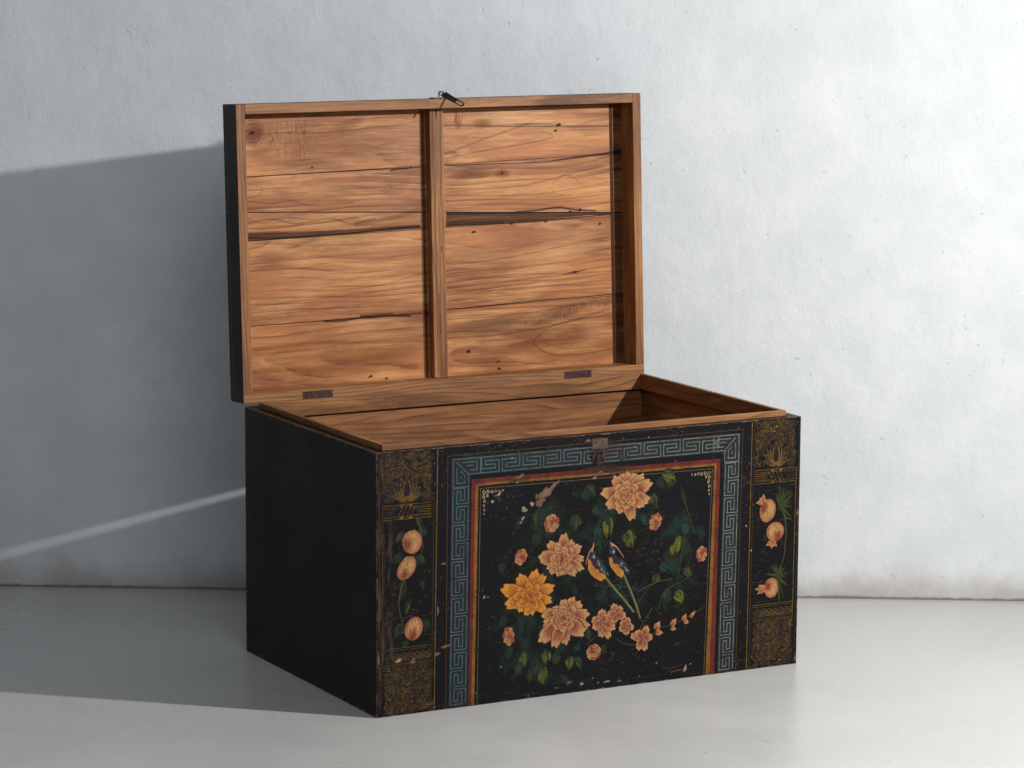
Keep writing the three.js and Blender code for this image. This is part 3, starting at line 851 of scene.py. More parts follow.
# Key border: a continuous meander of alternating units, with a folded piece at each top corner

fret = Coat("fret_border", line_paint)
fret_left, fret_right = colour("46625d"), colour("6a7460")
unit_down = ((0.84, 1), (0.84, 0.25), (0.18, 0.25), (0.18, 0.5), (0.66, 0.5), (0.66, 0.75), (0, 0.75), (0, 0))
unit_up = tuple((u, 1 - v) for u, v in unit_down)
line_width = 1.95


def meander(place, units, starts_up):
    """The meander's path. place gives X and Z for units along the band and a share, 0 to 1, across it."""
    path = [place(-0.12, 0 if starts_up else 1)]
    up = starts_up
    for unit in range(units):
        path += [place(unit + u, v) for u, v in (unit_up if up else unit_down)]
        up = not up
    path.append(place(units - 0.16, 0 if up else 1))
    return path


fret_low, fret_high, fret_start, fret_end, fret_units = 477.6, 509.4, -266.0, 303.0, 12
fret_pitch = (fret_end - fret_start) / fret_units
leg_top, leg_foot = 450.0, 1.0
leg_pitch = (leg_top - leg_foot) / fret_units


def top_band(u, v):
    return (fret_start + u * fret_pitch, fret_low + v * (fret_high - fret_low))


def left_leg(u, v):
    z = leg_top - u * leg_pitch
    return (-295.2 - 5.5 * (1 - z / 470) - 35.0 * v, z)


def right_leg(u, v):
    z = leg_top - u * leg_pitch
    return (312.6 - 8.4 * (1 - z / 450) + (32.6 + 1.4 * (1 - z / 450)) * v, z)


fret.stroke(meander(top_band, fret_units, True), line_width, [fret_left, fret_right], 4)
for leg, starts_up, hand, corner_x, tint in (
    (left_leg, True, 1, -330.2, fret_left), (right_leg, False, -1, 345.2, fret_right),
):
    fret.stroke(meander(leg, fret_units, starts_up), line_width, tint, 4)
    for path in (
        [(62, 0), (0, 0), (0, 57)], [(62, 0), (62, 31.8), (35, 31.8), (8, 6)],
        [(0, 57), (35, 57), (35, 36), (33, 31)], [(20, 7.5), (54, 7.5), (54, 24), (37, 24)],
        [(31, 14.5), (46, 14.5)], [(8.5, 17), (8.5, 49), (26, 49), (26, 33), (17, 25)],
        [(17, 35), (17, 41)],
    ):
        fret.stroke([(corner_x + hand * p, fret_high - q) for p, q in path], 2.0, tint, 4)

navy = Coat("fret_ground", ground_shade)
navy_out = [(-339, 2), (-334, 513), (349.5, 512), (342, 2)]
navy_in = [(-295, 2), (-291, 474.5), (309, 474.5), (300, 2)]
navy.band(navy_out, navy_in, colour("121f2c"), 1, 13)

# Side panels: scrolls on a brown wash, a lotus, a lattice band and fruit

scrolls = Coat("pilaster_scrolls", scroll_paint, 48)
wash, wash_dark = colour("2d2010"), colour("1a130c")
rule_gold = blend_tint(dull_gold, gold, 0.6)


def curl(coat, centre, radius, start, sweep, width, tint, lift, steps=9):
    """A spiral stroke that winds in from its radius."""
    path = [around(centre, radius * (1 - 0.8 * number / steps), start + sweep * number / steps)
            for number in range(steps + 1)]
    coat.stroke(path, width, tint, lift, width * 0.7)


def scroll_field(low, high, pitch, seed, keep=lambda x, z: True):
    """A brown wash with curls set close together, and dark and gold commas between them."""
    draw = random.Random(seed)
    wide, tall = high[0] - low[0], high[1] - low[1]
    columns, rows = max(1, round(wide / pitch)), max(1, round(tall / pitch))
    for number in range(46):
        spot = (draw.uniform(low[0] + 5, high[0] - 5), draw.uniform(low[1] + 4, high[1] - 4))
        outline = blob(spot, draw.uniform(9, 17), draw.uniform(6, 11), draw.uniform(0, 90), 0.2, number, 12)
        scrolls.patch(outline, wash_dark, wash, 2)
    for row in range(rows):
        for column in range(columns):
            x = low[0] + (column + 0.5 + 0.25 * (row % 2)) * wide / (columns + 0.25) + draw.uniform(-1, 1)
            z = low[1] + (row + 0.5) * tall / rows + draw.uniform(-1, 1)
            tint = blend_tint(dull_gold, gold, draw.random() ** 2)
            start, hand = draw.uniform(0, 360), draw.choice((-1, 1))
            if keep(x, z):
                sweep = hand * draw.uniform(330, 500)
                curl(scrolls, (x, z), pitch * draw.uniform(0.42, 0.56), start, sweep, 1.5, tint, 8)
                spot = around((x, z), pitch * 0.5, start + 180)
                away = (spot[0] + draw.uniform(-5, 5), spot[1] + draw.uniform(-5, 5))
                scrolls.stroke([spot, away], 2.2, draw.choice((black, black, gold)), 14, 0.6)


def lotus(middle, base, width, height):
    """An open lotus: dark petals edged in gold, fanned from its base over low leaves."""
    root = (middle, base + 2)
    scrolls.laid = 0
    for degrees, reach in (
        (80, 0.8), (-80, 0.8), (60, 0.9), (-60, 0.9), (40, 0.96), (-40, 0.96), (20, 1.0), (-20, 1.0),
        (0, 1.04),
    ):
        lean = math.radians(degrees)
        tip = (middle + width * 0.5 * reach * math.sin(lean), base + height * reach * math.cos(lean) + 2)
        scrolls.petal(root, tip, width * 0.22, (gold, gold, gold), 10, 0.0, 0.5, 0.0, True)
        inner_root, inner_tip = between(root, tip, 0.05), between(root, tip, 0.93)
        scrolls.petal(inner_root, inner_tip, width * 0.165, (black, black, wash), 10, 0.0, 0.45, 0.0, True)
    for hand in (-1, 1):
        leaf = [(middle + hand * width * share, base + rise) for share, rise in ((0, 0), (0.3, 1), (0.52, 9))]
        scrolls.stroke(leaf, 1.6, gold, 14, 0.9)


def lattice(low, high, hand, middle):
    """Rules above and below, nested lines from the inner side, and slanted bars between small wedges."""
    for z, width in ((high[1], 1.7), (high[1] - 5, 0.9), (low[1], 1.7), (low[1] + 4.5, 0.9)):
        scrolls.stroke([(low[0], z), (high[0], z)], width, rule_gold, 8)
    inner, outer = (high[0], low[0]) if hand > 0 else (low[0], high[0])
    for share, start in ((0.72, 16), (0.56, 24), (0.4, 24), (0.24, 16)):
        z = low[1] + (high[1] - low[1]) * share
        scrolls.stroke([(middle + hand * start, z), (inner, z)], 1.1, gold, 8)
        scrolls.stroke([(middle - hand * start, z), (outer, z)], 0.8, dull_gold, 8)
    for shift in (-17, -8, 2, 11):
        slant = [(middle + hand * (shift + 9), high[1] - 5), (middle + hand * shift, low[1] + 5)]
        scrolls.stroke(slant, 1.3, gold, 9)
    scrolls.stroke([(middle - hand * 17, high[1] - 5), (middle + hand * 14, low[1] + 5)], 3.6, black, 10)
    for x in (-10, 10):
        for z, rise in ((high[1] - 0.5, -7.5), (low[1] + 0.5, 7.5)):
            wedge = [(middle + x - 5, z), (middle + x + 5, z), (middle + x, z + rise)]
            scrolls.patch(wedge, gold, gold, 12)


for index, (left, right, middle, hand) in enumerate(((-484, -379, -435.5, 1), (386, 487, 441, -1))):
    centre = (left + right) / 2

    def beside_lotus(x, z, centre=centre):
        return math.hypot((x - centre) / 40, (z - 455) / 30) > 1

    scroll_field((left, 434), (right, 533), 9.4, 50 + index, beside_lotus)
    lotus(centre - 2 * hand, 440, 78, 42)
    sweep = [around((centre + hand * 44, 545), 62, 180 + turn if hand > 0 else -turn, 0.95)
             for turn in range(0, 81, 9)]
    scrolls.stroke(sweep, 5.5, black, 14, 4)
    scrolls.stroke([(x, z - 3.4) for x, z in sweep], 1.3, gold, 15, 1)
    lattice((left, 399), (right, 428), hand, middle)
    for z, width in ((137.5, 1.4), (133, 0.8), (104.5, 1.4), (100.5, 0.8)):
        scrolls.stroke([(left, z), (right, z)], width, rule_gold, 8)
    for number in range(7):
        x = left + 9 + number * (right - left - 18) / 6
        scrolls.patch(blob((x, 119), 10, 9, 0, 0.1, number, 12), wash_dark, wash, 2)
        curl(scrolls, (x, 119), 8.0, 180 if number % 2 else 0, 470 if number % 2 else -470, 1.5, gold, 6)
        scrolls.stroke([(x - 7, 110), (x, 108), (x + 7, 111)], 1.3, dull_gold, 8)
        scrolls.stroke([(x + 5, 128), (x + 9, 125)], 2, gold, 8, 0.8)
    scroll_field((left, 4), (right, 99), 9.0, 60 + index)

# Corner scrolls inside the main panel
pale_gold = colour("a8946c")
for corner_x, corner_z, hand in ((-264, 442, 1), (278, 437.5, -1)):
    for shift, drop, radius in (
        (5, 5, 5), (14, 4, 4.4), (23, 5, 3.8), (31, 4, 3.2), (39, 5, 2.8), (47, 4, 2), (4, 14, 4.4),
        (6, 23, 3.8), (4, 32, 3.2), (5, 41, 2.6), (4, 49, 1.8), (12, 12, 3),
    ):
        spot = (corner_x + hand * shift, corner_z - drop)
        curl(lines, spot, radius, 90 * hand, 420 * hand, 1.5, pale_gold, 6)

# Peonies: outer petals by their tips, then inner whorls

peonies = Coat("peonies", figure_paint, no_repeat)
pink = (rose, salmon, cream)
warm = (orange_rose, orange, orange_rim)


def edged_petal(coat, root, tip, width, tints, lift, phase, pointed=False):
    """A petal with a dark line left round it."""
    over, ruffle = between(root, tip, 1.035), 0.13
    coat.petal(root, over, width * 1.12, (dark_rose, line_rose, line_rose), lift, ruffle, 0.4, phase, pointed)
    coat.petal(root, tip, width, tints, lift, ruffle, 0.35, phase, pointed)


def peony(centre, tips, widths, tints, whorl, seed):
    """Streaked outer petals, the highest first, then rings of smaller ones and a curled heart."""
    draw = random.Random(seed)
    lift = 10
    peonies.laid = 1.5 * (seed % 4)
    for index in sorted(range(len(tips)), key=lambda index: -tips[index][1]):
        tip, width = tips[index], widths[index % len(widths)]
        root = between(centre, tip, 0.12)
        edged_petal(peonies, root, tip, width, tints, lift, index * 1.3)
        run = math.hypot(tip[0] - root[0], tip[1] - root[1]) or 1
        for streak in range(4):
            peonies.laid -= 1 if streak else 0
            side = (streak - 1.5) * width * 0.17
            across = ((root[1] - tip[1]) / run * side, (tip[0] - root[0]) / run * side)
            first, last = between(root, tip, 0.3), between(root, tip, draw.uniform(0.6, 0.85))
            path = [(first[0] + across[0] * 0.5, first[1] + across[1] * 0.5),
                    (last[0] + across[0], last[1] + across[1])]
            peonies.stroke(path, 1.7, [tints[0], tints[1]], lift, 0.4)
    for ring, (radius, count, width) in enumerate(whorl):
        for number in range(count):
            angle = 360 * number / count + ring * 31 + draw.uniform(-9, 9)
            reach = radius * draw.uniform(0.86, 1.14)
            tip, root = around(centre, reach, angle, 0.94), around(centre, reach * 0.22, angle, 0.94)
            edged_petal(peonies, root, tip, width, tints, lift, number * 1.7)
            streak = [between(root, tip, 0.2), between(root, tip, 0.75)]
            peonies.stroke(streak, 1.5, [tints[0], tints[1]], lift, 0.4)
    for number in range(7):
        spot = around(centre, draw.uniform(2, 7), draw.uniform(0, 360))
        radius, start = draw.uniform(2.5, 4.5), draw.uniform(0, 360)
        curl(peonies, spot, radius, start, 260, 1.2, draw.choice((tints[0], tints[2])), lift, 6)


for centre, tips, widths, tints, whorl, seed in (
    ((72, 403),
     [(74, 453), (93, 447), (112, 443), (132, 425), (127, 388), (114, 377), (87, 351), (54, 368),
      (25, 385), (13, 414), (42, 444), (60, 449)],
     (25, 21, 23, 30, 28, 24, 30, 30, 30, 28, 28, 20), pink, ((31, 8, 23), (21, 7, 17), (11, 5, 10)), 71),
    ((-80, 283),
     [(-132, 293), (-110, 321), (-91, 318), (-73, 335), (-54, 319), (-35, 306), (-28, 279), (-29, 258),
      (-47, 247), (-67, 251), (-88, 249), (-106, 256), (-114, 267)],
     (32, 26, 22, 27, 24, 25, 21, 21, 22, 20, 21, 20, 18), pink, ((30, 9, 20), (19, 8, 13), (10, 6, 8)),
     72),
    ((-158, 213),
     [(-138, 266), (-119, 253), (-98, 228), (-103, 198), (-118, 180), (-146, 174), (-161, 174),
      (-179, 184), (-209, 200), (-218, 236), (-178, 260)],
     (27, 25, 27, 24, 26, 18, 18, 22, 30, 32, 30), warm, ((32, 8, 20), (19, 6, 12)), 73),
    ((-75, 158),
     [(-50, 200), (-74, 198), (-98, 185), (-125, 177), (-121, 151), (-130, 117), (-96, 101), (-68, 104),
      (-26, 121), (-14, 136), (-15, 163), (-33, 187)],
     (25, 24, 22, 28, 27, 34, 30, 26, 34, 24, 28, 28), pink, ((32, 8, 23), (22, 7, 17), (12, 6, 10)), 74),
):
    peony(centre, tips, widths, tints, whorl, seed)

# Small blossoms, buds and a sprig

blossoms = Coat("blossoms_and_buds", figure_paint, no_repeat)


def blossom(centre, tips, width, lift):
    """A small open flower with a few stamens."""
    blossoms.laid = 0
    for index, tip in enumerate(tips):
        edged_petal(blossoms, centre, tip, width, pink, lift, index * 1.9)
    blossoms.patch(blob(centre, 4.2, 4, 0, 0.1, 5, 12), rose, cream, lift + 3)
    for index in range(6):
        stamen = [centre, around(centre, width * 0.42, index * 60 + 20)]
        blossoms.stroke(stamen, 1.1, [rose, salmon], lift + 3.2, 0.5)


for centre, tips, width, lift in (
    ((17, 144), [(17, 168), (-7, 148), (-4, 130), (17, 110), (35, 106), (48, 124), (32, 153)], 21, 10),
    ((49, 154), [(44, 177), (64, 169), (74, 148), (44, 136), (30, 158)], 19, 14),
    ((74, 127), [(81, 144), (93, 121), (77, 108), (59, 120), (63, 138)], 17, 12),
    ((115, 97), [(127, 121), (139, 97), (122, 70), (105, 73), (87, 106), (99, 113)], 19, 12),
):
    blossom(centre, tips, width, lift)


def bud(centre, radius_x, radius_z, turn, seed):
    """A half-open bud: small petals folded round a heart."""
    blossoms.laid = 0
    blossoms.patch(blob(centre, radius_x * 1.02, radius_z * 1.02, turn, 0.06, seed), dark_rose, rose, 10)
    for ring, count, reach, width in ((0, 7, 1.0, 1.0), (1, 5, 0.66, 0.8), (2, 3, 0.38, 0.55)):
        for number in range(count):
            angle = math.radians(360 * number / count + ring * 40 + seed)
            x, z = radius_x * reach * math.cos(angle), radius_z * reach * math.sin(angle)
            tip = leaning(centre, x, z, math.radians(turn))
            tints = pink if (number + ring) % 3 else (rose, rose, salmon)
            root = between(centre, tip, 0.15)
            edged_petal(blossoms, root, tip, radius_x * width, tints, 12 + ring * 2, number)


for place, radius_x, radius_z, turn in (
    ((-175, 297), 14, 17, -20), ((-202, 135), 13, 20, 10), ((-2, 80), 17, 17, -30),
    ((-104, 360), 17, 19, -25), ((143, 341), 14, 19, -20), ((257, 262), 13, 17, -10),
):
    bud(place, radius_x, radius_z, turn, round(place[0]))
for tip, root, width in (
    ((157, 129), (146, 112), 13), ((165, 103), (147, 106), 11), ((197, 131), (185, 116), 11),
    ((197, 107), (184, 112), 9), ((221, 138), (213, 124), 9), ((228, 118), (216, 123), 9),
    ((244, 142), (231, 129), 7),
):
    edged_petal(blossoms, root, tip, width, (rose, cream, cream), 12, 1.0, True)

# Birds: tails, bodies, wings and heads

birds = Coat("paired_birds", figure_paint, no_repeat)
slate, wing_blue, wing_core = colour("2e4046"), colour("11202a"), colour("1f363e")
wing_dabs = (colour("747f62"), slate, colour("94906c"))
belly, belly_rim, breast = colour("9a5e22"), colour("b07a34"), colour("34161c")
tail_dark, tail_light = [colour("40402c"), colour("5e5636")], [colour("7c7548"), colour("8c8250")]
pink_edge, beak_tint, cheek_tint = colour("c88a68"), colour("a0604a"), colour("8c9a8c")


def bird(head, beak, back, belly_path, breast_path, wing_path, tail_path):
    """A bird from its tail up: tail, belly, breast, dabbed wing, back line, head, cheek, eye and beak."""
    birds.laid = 0 if head[0] < 0 else 4.5
    birds.stroke(tail_path, 5.6, tail_dark, 10, 4.4)
    birds.stroke([(x + 1, z + 1) for x, z in tail_path], 1.8, tail_light, 12, 1.3)
    birds.patch(belly_path, belly_rim, belly, 13)
    birds.patch(breast_path, breast, breast, 14)
    birds.patch(wing_path, wing_blue, wing_core, 15)
    middle = middle_of(wing_path)
    draw = random.Random(round(head[0]))
    run = (wing_path[3][0] - wing_path[0][0], wing_path[3][1] - wing_path[0][1])
    for number in range(11):
        share = draw.uniform(-0.42, 0.42)
        x = middle[0] + run[0] * share + draw.uniform(-5, 5)
        z = middle[1] + run[1] * share + draw.uniform(-3, 3)
        dab = [(x, z), (x + run[0] * 0.14, z + run[1] * 0.14)]
        birds.stroke(dab, 2.4, draw.choice(wing_dabs), 17, 0.7)
    birds.stroke(back, 2.8, [pink_edge, beak_tint], 18, 1.6)
    birds.patch(blob(head, 8.5, 10.5, 8, 0.05, 3), wing_blue, slate, 19)
    birds.patch(blob((head[0] + 3, head[1] - 3), 3.4, 5.0, 20, 0.1, 4, 12), slate, cheek_tint, 20)
    birds.patch(blob((head[0] - 2, head[1] + 1.5), 2.4, 2.4, 0, 0, 3, 10), black, black, 22)
    birds.stroke([(head[0] - 1, head[1] + 8), beak], 4.2, [beak_tint, pink_edge], 21, 0.8)


bird((-7, 284), (-4, 311), [(-4, 304), (-14, 291), (-20, 278), (-23, 266)],
     [(-18, 280), (-17, 256), (-9, 243), (-1, 236), (13, 228), (23, 232), (26, 238), (10, 250), (-6, 268)],
     [(-12, 276), (0, 282), (8, 276), (8, 262), (4, 252), (-7, 264)],
     [(4, 281), (14, 273), (24, 258), (32, 243), (24, 240), (10, 247), (3, 262)],
     [(24, 234), (45, 210), (66, 187), (84, 166), (93, 154)])
bird((40, 290), (35, 309), [(38, 305), (49, 297), (60, 284), (68, 272)],
     [(32, 276), (34, 262), (38, 254), (53, 236), (63, 230), (69, 238), (66, 248), (52, 262), (44, 274)],
     [(38, 278), (48, 280), (54, 272), (52, 260), (43, 262)],
     [(48, 276), (60, 272), (73, 262), (80, 246), (83, 232), (72, 240), (58, 252), (50, 264)],
     [(68, 236), (80, 210), (93, 182), (102, 160), (109, 139)])
for foot in ([(8, 230), (0, 222), (-4, 219)], [(54, 234), (50, 226), (44, 224)], [(18, 229), (14, 219)]):
    birds.stroke(foot, 1.6, dull_gold, 12, 1.0)

# Leaves, stems and the shaded ground round the flowers

leaves = Coat("leaves_and_stems", figure_paint, no_repeat)
shade = Coat("foliage_shade", ground_shade, no_repeat)


def tuft(coat, root, tip, width, tints, seed, strokes=12):
    """A leaf dabbed with a loaded brush: a dark wash, then short strokes from its root."""
    draw = random.Random(seed)
    level = 4 + 1.6 * (seed % 3)
    coat.laid = 0
    coat.petal(root, tip, width, (tints[0], tints[0], faded(tints[0], 0.0)), level, 0.05, 0.3, seed, True)
    run = (tip[0] - root[0], tip[1] - root[1])
    length = math.hypot(*run)
    aside = (-run[1] / length, run[0] / length)
    for number in range(strokes):
        lean = draw.uniform(-0.42, 0.42)
        near, far = draw.uniform(0.0, 0.45), draw.uniform(0.65, 1.0) - abs(lean) * 0.35
        path = []
        for share in (near, (near + far) / 2, far):
            swing = lean * width * math.sin(math.pi * min(0.8, share + 0.12))
            path.append(tuple(root[axis] + run[axis] * share + aside[axis] * swing for axis in (0, 1)))
        tint = blend_tint(tints[1], tints[2], draw.random() ** 1.6)
        coat.stroke(path, draw.uniform(2.0, 4.2), [blend_tint(tint, tints[0], 0.4), tint], level, 0.8)


olive_set = (dark_green, olive, olive_light)
moss_set = (dark_teal, dark_green, olive)
deep_set = (dark_teal, dark_green, dark_green)
teal_set = (dark_teal, teal, colour("174038"))
for number, (root, tip, width, tints) in enumerate((
    ((30, 362), (29, 313), 30, olive_set), ((80, 330), (84, 289), 34, olive_set),
    ((70, 322), (72, 300), 20, moss_set), ((-126, 392), (-134, 352), 46, moss_set),
    ((-118, 380), (-140, 366), 26, deep_set), ((-48, 372), (-50, 338), 34, moss_set),
    ((-24, 430), (-2, 405), 34, moss_set), ((-30, 420), (-14, 400), 26, deep_set),
    ((160, 442), (192, 424), 34, olive_set), ((176, 438), (184, 404), 30, moss_set),
    ((150, 432), (166, 408), 26, deep_set), ((204, 306), (200, 268), 30, olive_set),
    ((192, 292), (186, 262), 24, olive_set), ((-166, 98), (-170, 62), 26, olive_set),
    ((-116, 96), (-112, 64), 26, olive_set), ((-120, 62), (-124, 22), 26, olive_set),
    ((-130, 70), (-140, 40), 24, moss_set), ((-57, 78), (-62, 48), 24, olive_set),
    ((-44, 74), (-30, 46), 20, moss_set), ((-150, 60), (-156, 30), 22, moss_set),
    ((-176, 80), (-184, 50), 20, moss_set), ((134, 400), (142, 372), 30, moss_set),
    ((196, 190), (212, 158), 28, olive_set), ((178, 196), (166, 170), 26, moss_set),
    ((150, 230), (140, 208), 22, moss_set), ((-18, 128), (-10, 104), 20, moss_set),
    ((-216, 288), (-222, 262), 20, deep_set), ((-132, 340), (-150, 316), 26, deep_set),
    ((6, 344), (0, 318), 22, teal_set), ((110, 360), (122, 336), 26, teal_set),
    ((216, 236), (232, 214), 22, moss_set), ((156, 250), (176, 232), 22, teal_set),
    ((212, 330), (222, 300), 22, teal_set), ((-210, 176), (-224, 150), 22, deep_set),
    ((-196, 112), (-208, 84), 24, deep_set), ((-90, 88), (-92, 60), 22, moss_set),
    ((24, 94), (18, 70), 18, deep_set), ((-4, 386), (6, 364), 22, teal_set),
)):
    tuft(leaves, root, tip, width, tints, number)
for path, width in (
    ([(109, 83), (128, 96), (146, 108), (166, 116), (190, 117), (214, 126), (238, 136), (268, 148)], 1.7),
    ([(150, 150), (160, 176), (176, 196), (196, 204), (216, 210), (236, 226)], 1.6),
    ([(104, 196), (130, 208), (156, 214), (186, 216)], 2.6), ([(100, 106), (118, 132), (140, 160)], 2.2),
    ([(98, 150), (106, 176), (124, 200), (140, 210)], 1.6),
    ([(196, 206), (204, 236), (206, 262), (214, 290), (216, 330)], 1.6),
    ([(206, 214), (222, 236), (232, 262)], 1.4), ([(240, 306), (228, 340), (214, 376), (206, 404)], 2.2),
    ([(50, 104), (66, 92), (84, 86), (100, 84)], 2.0), ([(-20, 96), (-4, 108), (12, 118)], 1.6),
    ([(0, 222), (20, 214), (50, 216), (80, 208), (104, 200)], 1.8),
    ([(60, 206), (72, 190), (80, 176)], 1.4),
):
    leaves.stroke(path, width * 0.8, [stem_tint, olive], 8, width * 0.5)
draw = random.Random(8)
dabs = []
shaded_places = (
    (-158, 213, 62, 66), (-78, 283, 78, 74), (72, 400, 96, 60), (-75, 158, 80, 70), (-30, 340, 90, 60),
    (218, 340, 34, 74), (190, 230, 60, 66), (-140, 70, 76, 50), (40, 210, 70, 40), (-170, 150, 64, 64),
    (-150, 100, 76, 56), (-120, 370, 50, 40),
)
shade_tints = ((dark_teal, teal), (dark_teal, teal), (dark_green, teal), (dark_green, dark_green))
for number in range(300):
    x, z, reach_x, reach_z = draw.choice(shaded_places)
    x, z = x + draw.gauss(0, 0.55) * reach_x, z + draw.gauss(0, 0.55) * reach_z
    if -258 < x < 268 and 12 < z < 434:
        angle, size = draw.uniform(200, 340), draw.uniform(24, 46)
        tint = faded(blend_tint(*draw.choice(shade_tints), draw.random()), draw.uniform(0.3, 0.8))
        dabs.append(((x, z), around((x, z), size * 0.6, angle), size * 0.5, tint))
shade.wash((-268, 6), (276, 444), 4, dabs, 1)

# Fruit on the side panels

fruit = Coat("peaches_and_pomegranates", figure_paint, no_repeat)
fruit_cream, fruit_rose = colour("bb9560"), colour("903628")


def round_fruit(centre, radius_x, radius_z, turn, seed, blush):
    """A fruit with dabs along it that redden towards its blush, an angle, and a crease on its far side."""
    squeeze = radius_z / radius_x
    fruit.laid = 0
    outline = blob(centre, radius_x * 1.05, radius_z * 1.05, turn, 0.02, seed, 22)
    fruit.patch(outline, dark_rose, dark_rose, 10)
    fruit.patch(blob(centre, radius_x, radius_z, turn, 0.02, seed, 22), salmon, fruit_cream, 11)
    draw = random.Random(seed)
    for number in range(34):
        angle, reach = draw.uniform(0, 360), draw.uniform(0.15, 0.8)
        near = max(0, math.cos(math.radians(angle - blush))) * reach
        spot = around(centre, radius_x * reach, angle, squeeze)
        away = around(spot, draw.uniform(4, 9), turn + 90 + draw.uniform(-30, 30))
        tint = blend_tint(blend_tint(fruit_cream, salmon, 0.8 * draw.random()), fruit_rose, min(0.7, near))
        if math.hypot((away[0] - centre[0]) / radius_x, (away[1] - centre[1]) / radius_z) < 0.93:
            fruit.stroke([spot, away], 3.4, tint, 13, 1.2)
    for share in (0.62, 0.45):
        spot = around(centre, radius_x * share, blush, squeeze)
        size = radius_x * (1 - share) * 1.1
        outline = blob(spot, size, size * 1.3, turn, 0.12, seed)
        fruit.patch(outline, faded(fruit_rose, 0.0), faded(fruit_rose, 0.5), 14)
    crease = [around(centre, radius_x * 0.8, turn + angle, squeeze) for angle in range(150, 207, 14)]
    fruit.stroke(crease, 1.5, [rose, salmon], 15, 0.7)


for centre, radius_x, radius_z, turn, seed, blush in (
    ((-422, 351), 22, 24, 0, 31, 200), ((-434, 299), 18, 26, -38, 32, 240),
    ((-418, 174), 20, 24, -18, 33, 260), ((420, 340), 20, 25, -12, 34, 150),
    ((440, 293), 22, 21, 0, 35, 300), ((433, 172), 18, 22, 0, 36, 160),
):
    round_fruit(centre, radius_x, radius_z, turn, seed, blush)
for crown, points in (
    ((408, 360), [(390, 359), (399, 370), (409, 377)]),
    ((433, 271), [(417, 265), (431, 257), (445, 261)]),
    ((417, 172), [(400, 181), (391, 173), (397, 162)]),
):
    for tip in points:
        fruit.petal(crown, tip, 9, (salmon, salmon, cream), 17, 0, 0.7, 0.0, True)

# Leaves of the side panels: dabbed ones, then fans of spiky ones by the pomegranates, then stems

side_leaves = Coat("side_panel_leaves", figure_paint, no_repeat)
for number, (root, tip, width) in enumerate((
    ((-438, 372), (-458, 350), 22), ((-404, 380), (-388, 356), 22), ((-446, 330), (-464, 308), 22),
    ((-412, 322), (-392, 300), 22), ((-444, 276), (-440, 240), 20), ((-436, 262), (-452, 234), 16),
    ((-444, 186), (-460, 156), 24), ((-396, 190), (-382, 162), 22), ((-430, 150), (-448, 138), 18),
    ((-430, 232), (-436, 204), 12), ((-412, 396), (-396, 384), 16), ((-400, 270), (-396, 250), 12),
    ((452, 356), (466, 330), 26), ((446, 206), (456, 176), 26),
)):
    tuft(side_leaves, root, tip, width, deep_set if number % 3 else moss_set, 90 + number, 9)
draw = random.Random(33)
for root, tips in (
    ((452, 348),
     ((440, 372), (447, 392), (456, 386), (464, 380), (472, 382), (478, 368), (482, 354), (480, 340),
      (479, 324), (470, 318))),
    ((449, 196),
     ((419, 204), (430, 220), (440, 224), (452, 216), (462, 218), (470, 208), (474, 194), (472, 172),
      (462, 150), (451, 144))),
):
    side_leaves.laid = 0
    for tip in tips:
        for number in range(3):
            start, away = (around(end, draw.uniform(0, 6), draw.uniform(0, 360)) for end in (root, tip))
            bend = around(between(start, away, 0.55), draw.uniform(0, 3), draw.uniform(0, 360))
            tint = blend_tint(dark_green, olive, draw.random())
            width, shades = draw.uniform(2.2, 4.2), [blend_tint(tint, dark_green, 0.6), tint]
            side_leaves.stroke([start, bend, away], width, shades, 9, 0.6)
for path in (
    [(-430, 288), (-446, 262), (-452, 232), (-448, 204), (-440, 180)],
    [(-412, 400), (-402, 372), (-398, 340), (-404, 316)],
    [(456, 350), (464, 322), (468, 290), (464, 240), (454, 204), (450, 190)],
    [(462, 320), (476, 318), (484, 312)],
):
    side_leaves.stroke(path, 2.6, [olive, stem_tint], 6, 1.6)

# Rubbed and dirty places: the left end, the top edge by the lock, the foot

rubs = Coat("rubbed_places", ground_shade, 24)
rubs.gap = 0.5
draw = random.Random(14)
dust, brown_rub = colour("5c4c42"), colour("453228")
rub_tints = (dust, brown_rub)
dabs = []
for number in range(80):
    x, z, long = -496 + 34 * draw.random() ** 1.6, draw.uniform(6, 500), draw.uniform(20, 80)
    dabs.append(((x, z), (x + draw.uniform(-3, 3), z + long), draw.uniform(4, 12),
                 faded(draw.choice(rub_tints), draw.uniform(0.12, 0.45))))
rubs.wash((-498, 3), (-456, 534), 2, dabs, 21)
for number in range(110):
    x = draw.uniform(-480, 490)
    z = draw.choice((draw.uniform(2, 26), draw.uniform(512, 534), draw.uniform(2, 534)))
    long = draw.uniform(8, 60)
    path = [(x, z), (x + long / 2, z + draw.uniform(-1, 1)), (x + long, z + draw.uniform(-2, 2))]
    width, tint = draw.uniform(0.6, 2.4), faded(draw.choice(rub_tints), draw.uniform(0.15, 0.5))
    rubs.smear(path, width, tint, 22, 0.6, 0.3)
for spot, radius_x, radius_z, share in (
    ((15, 462), 62, 12, 0.6), ((60, 455), 40, 7, 0.5), ((20, 500), 46, 24, 0.4), ((-40, 460), 40, 7, 0.3),
    ((-180, 455), 30, 10, 0.3),
):
    outline = blob(spot, radius_x, radius_z, 0, 0.2, round(spot[0]), 24)
    rubs.patch(outline, faded(brown_rub, 0.0), faded(brown_rub, share), 18)

# Places where the paint is lost

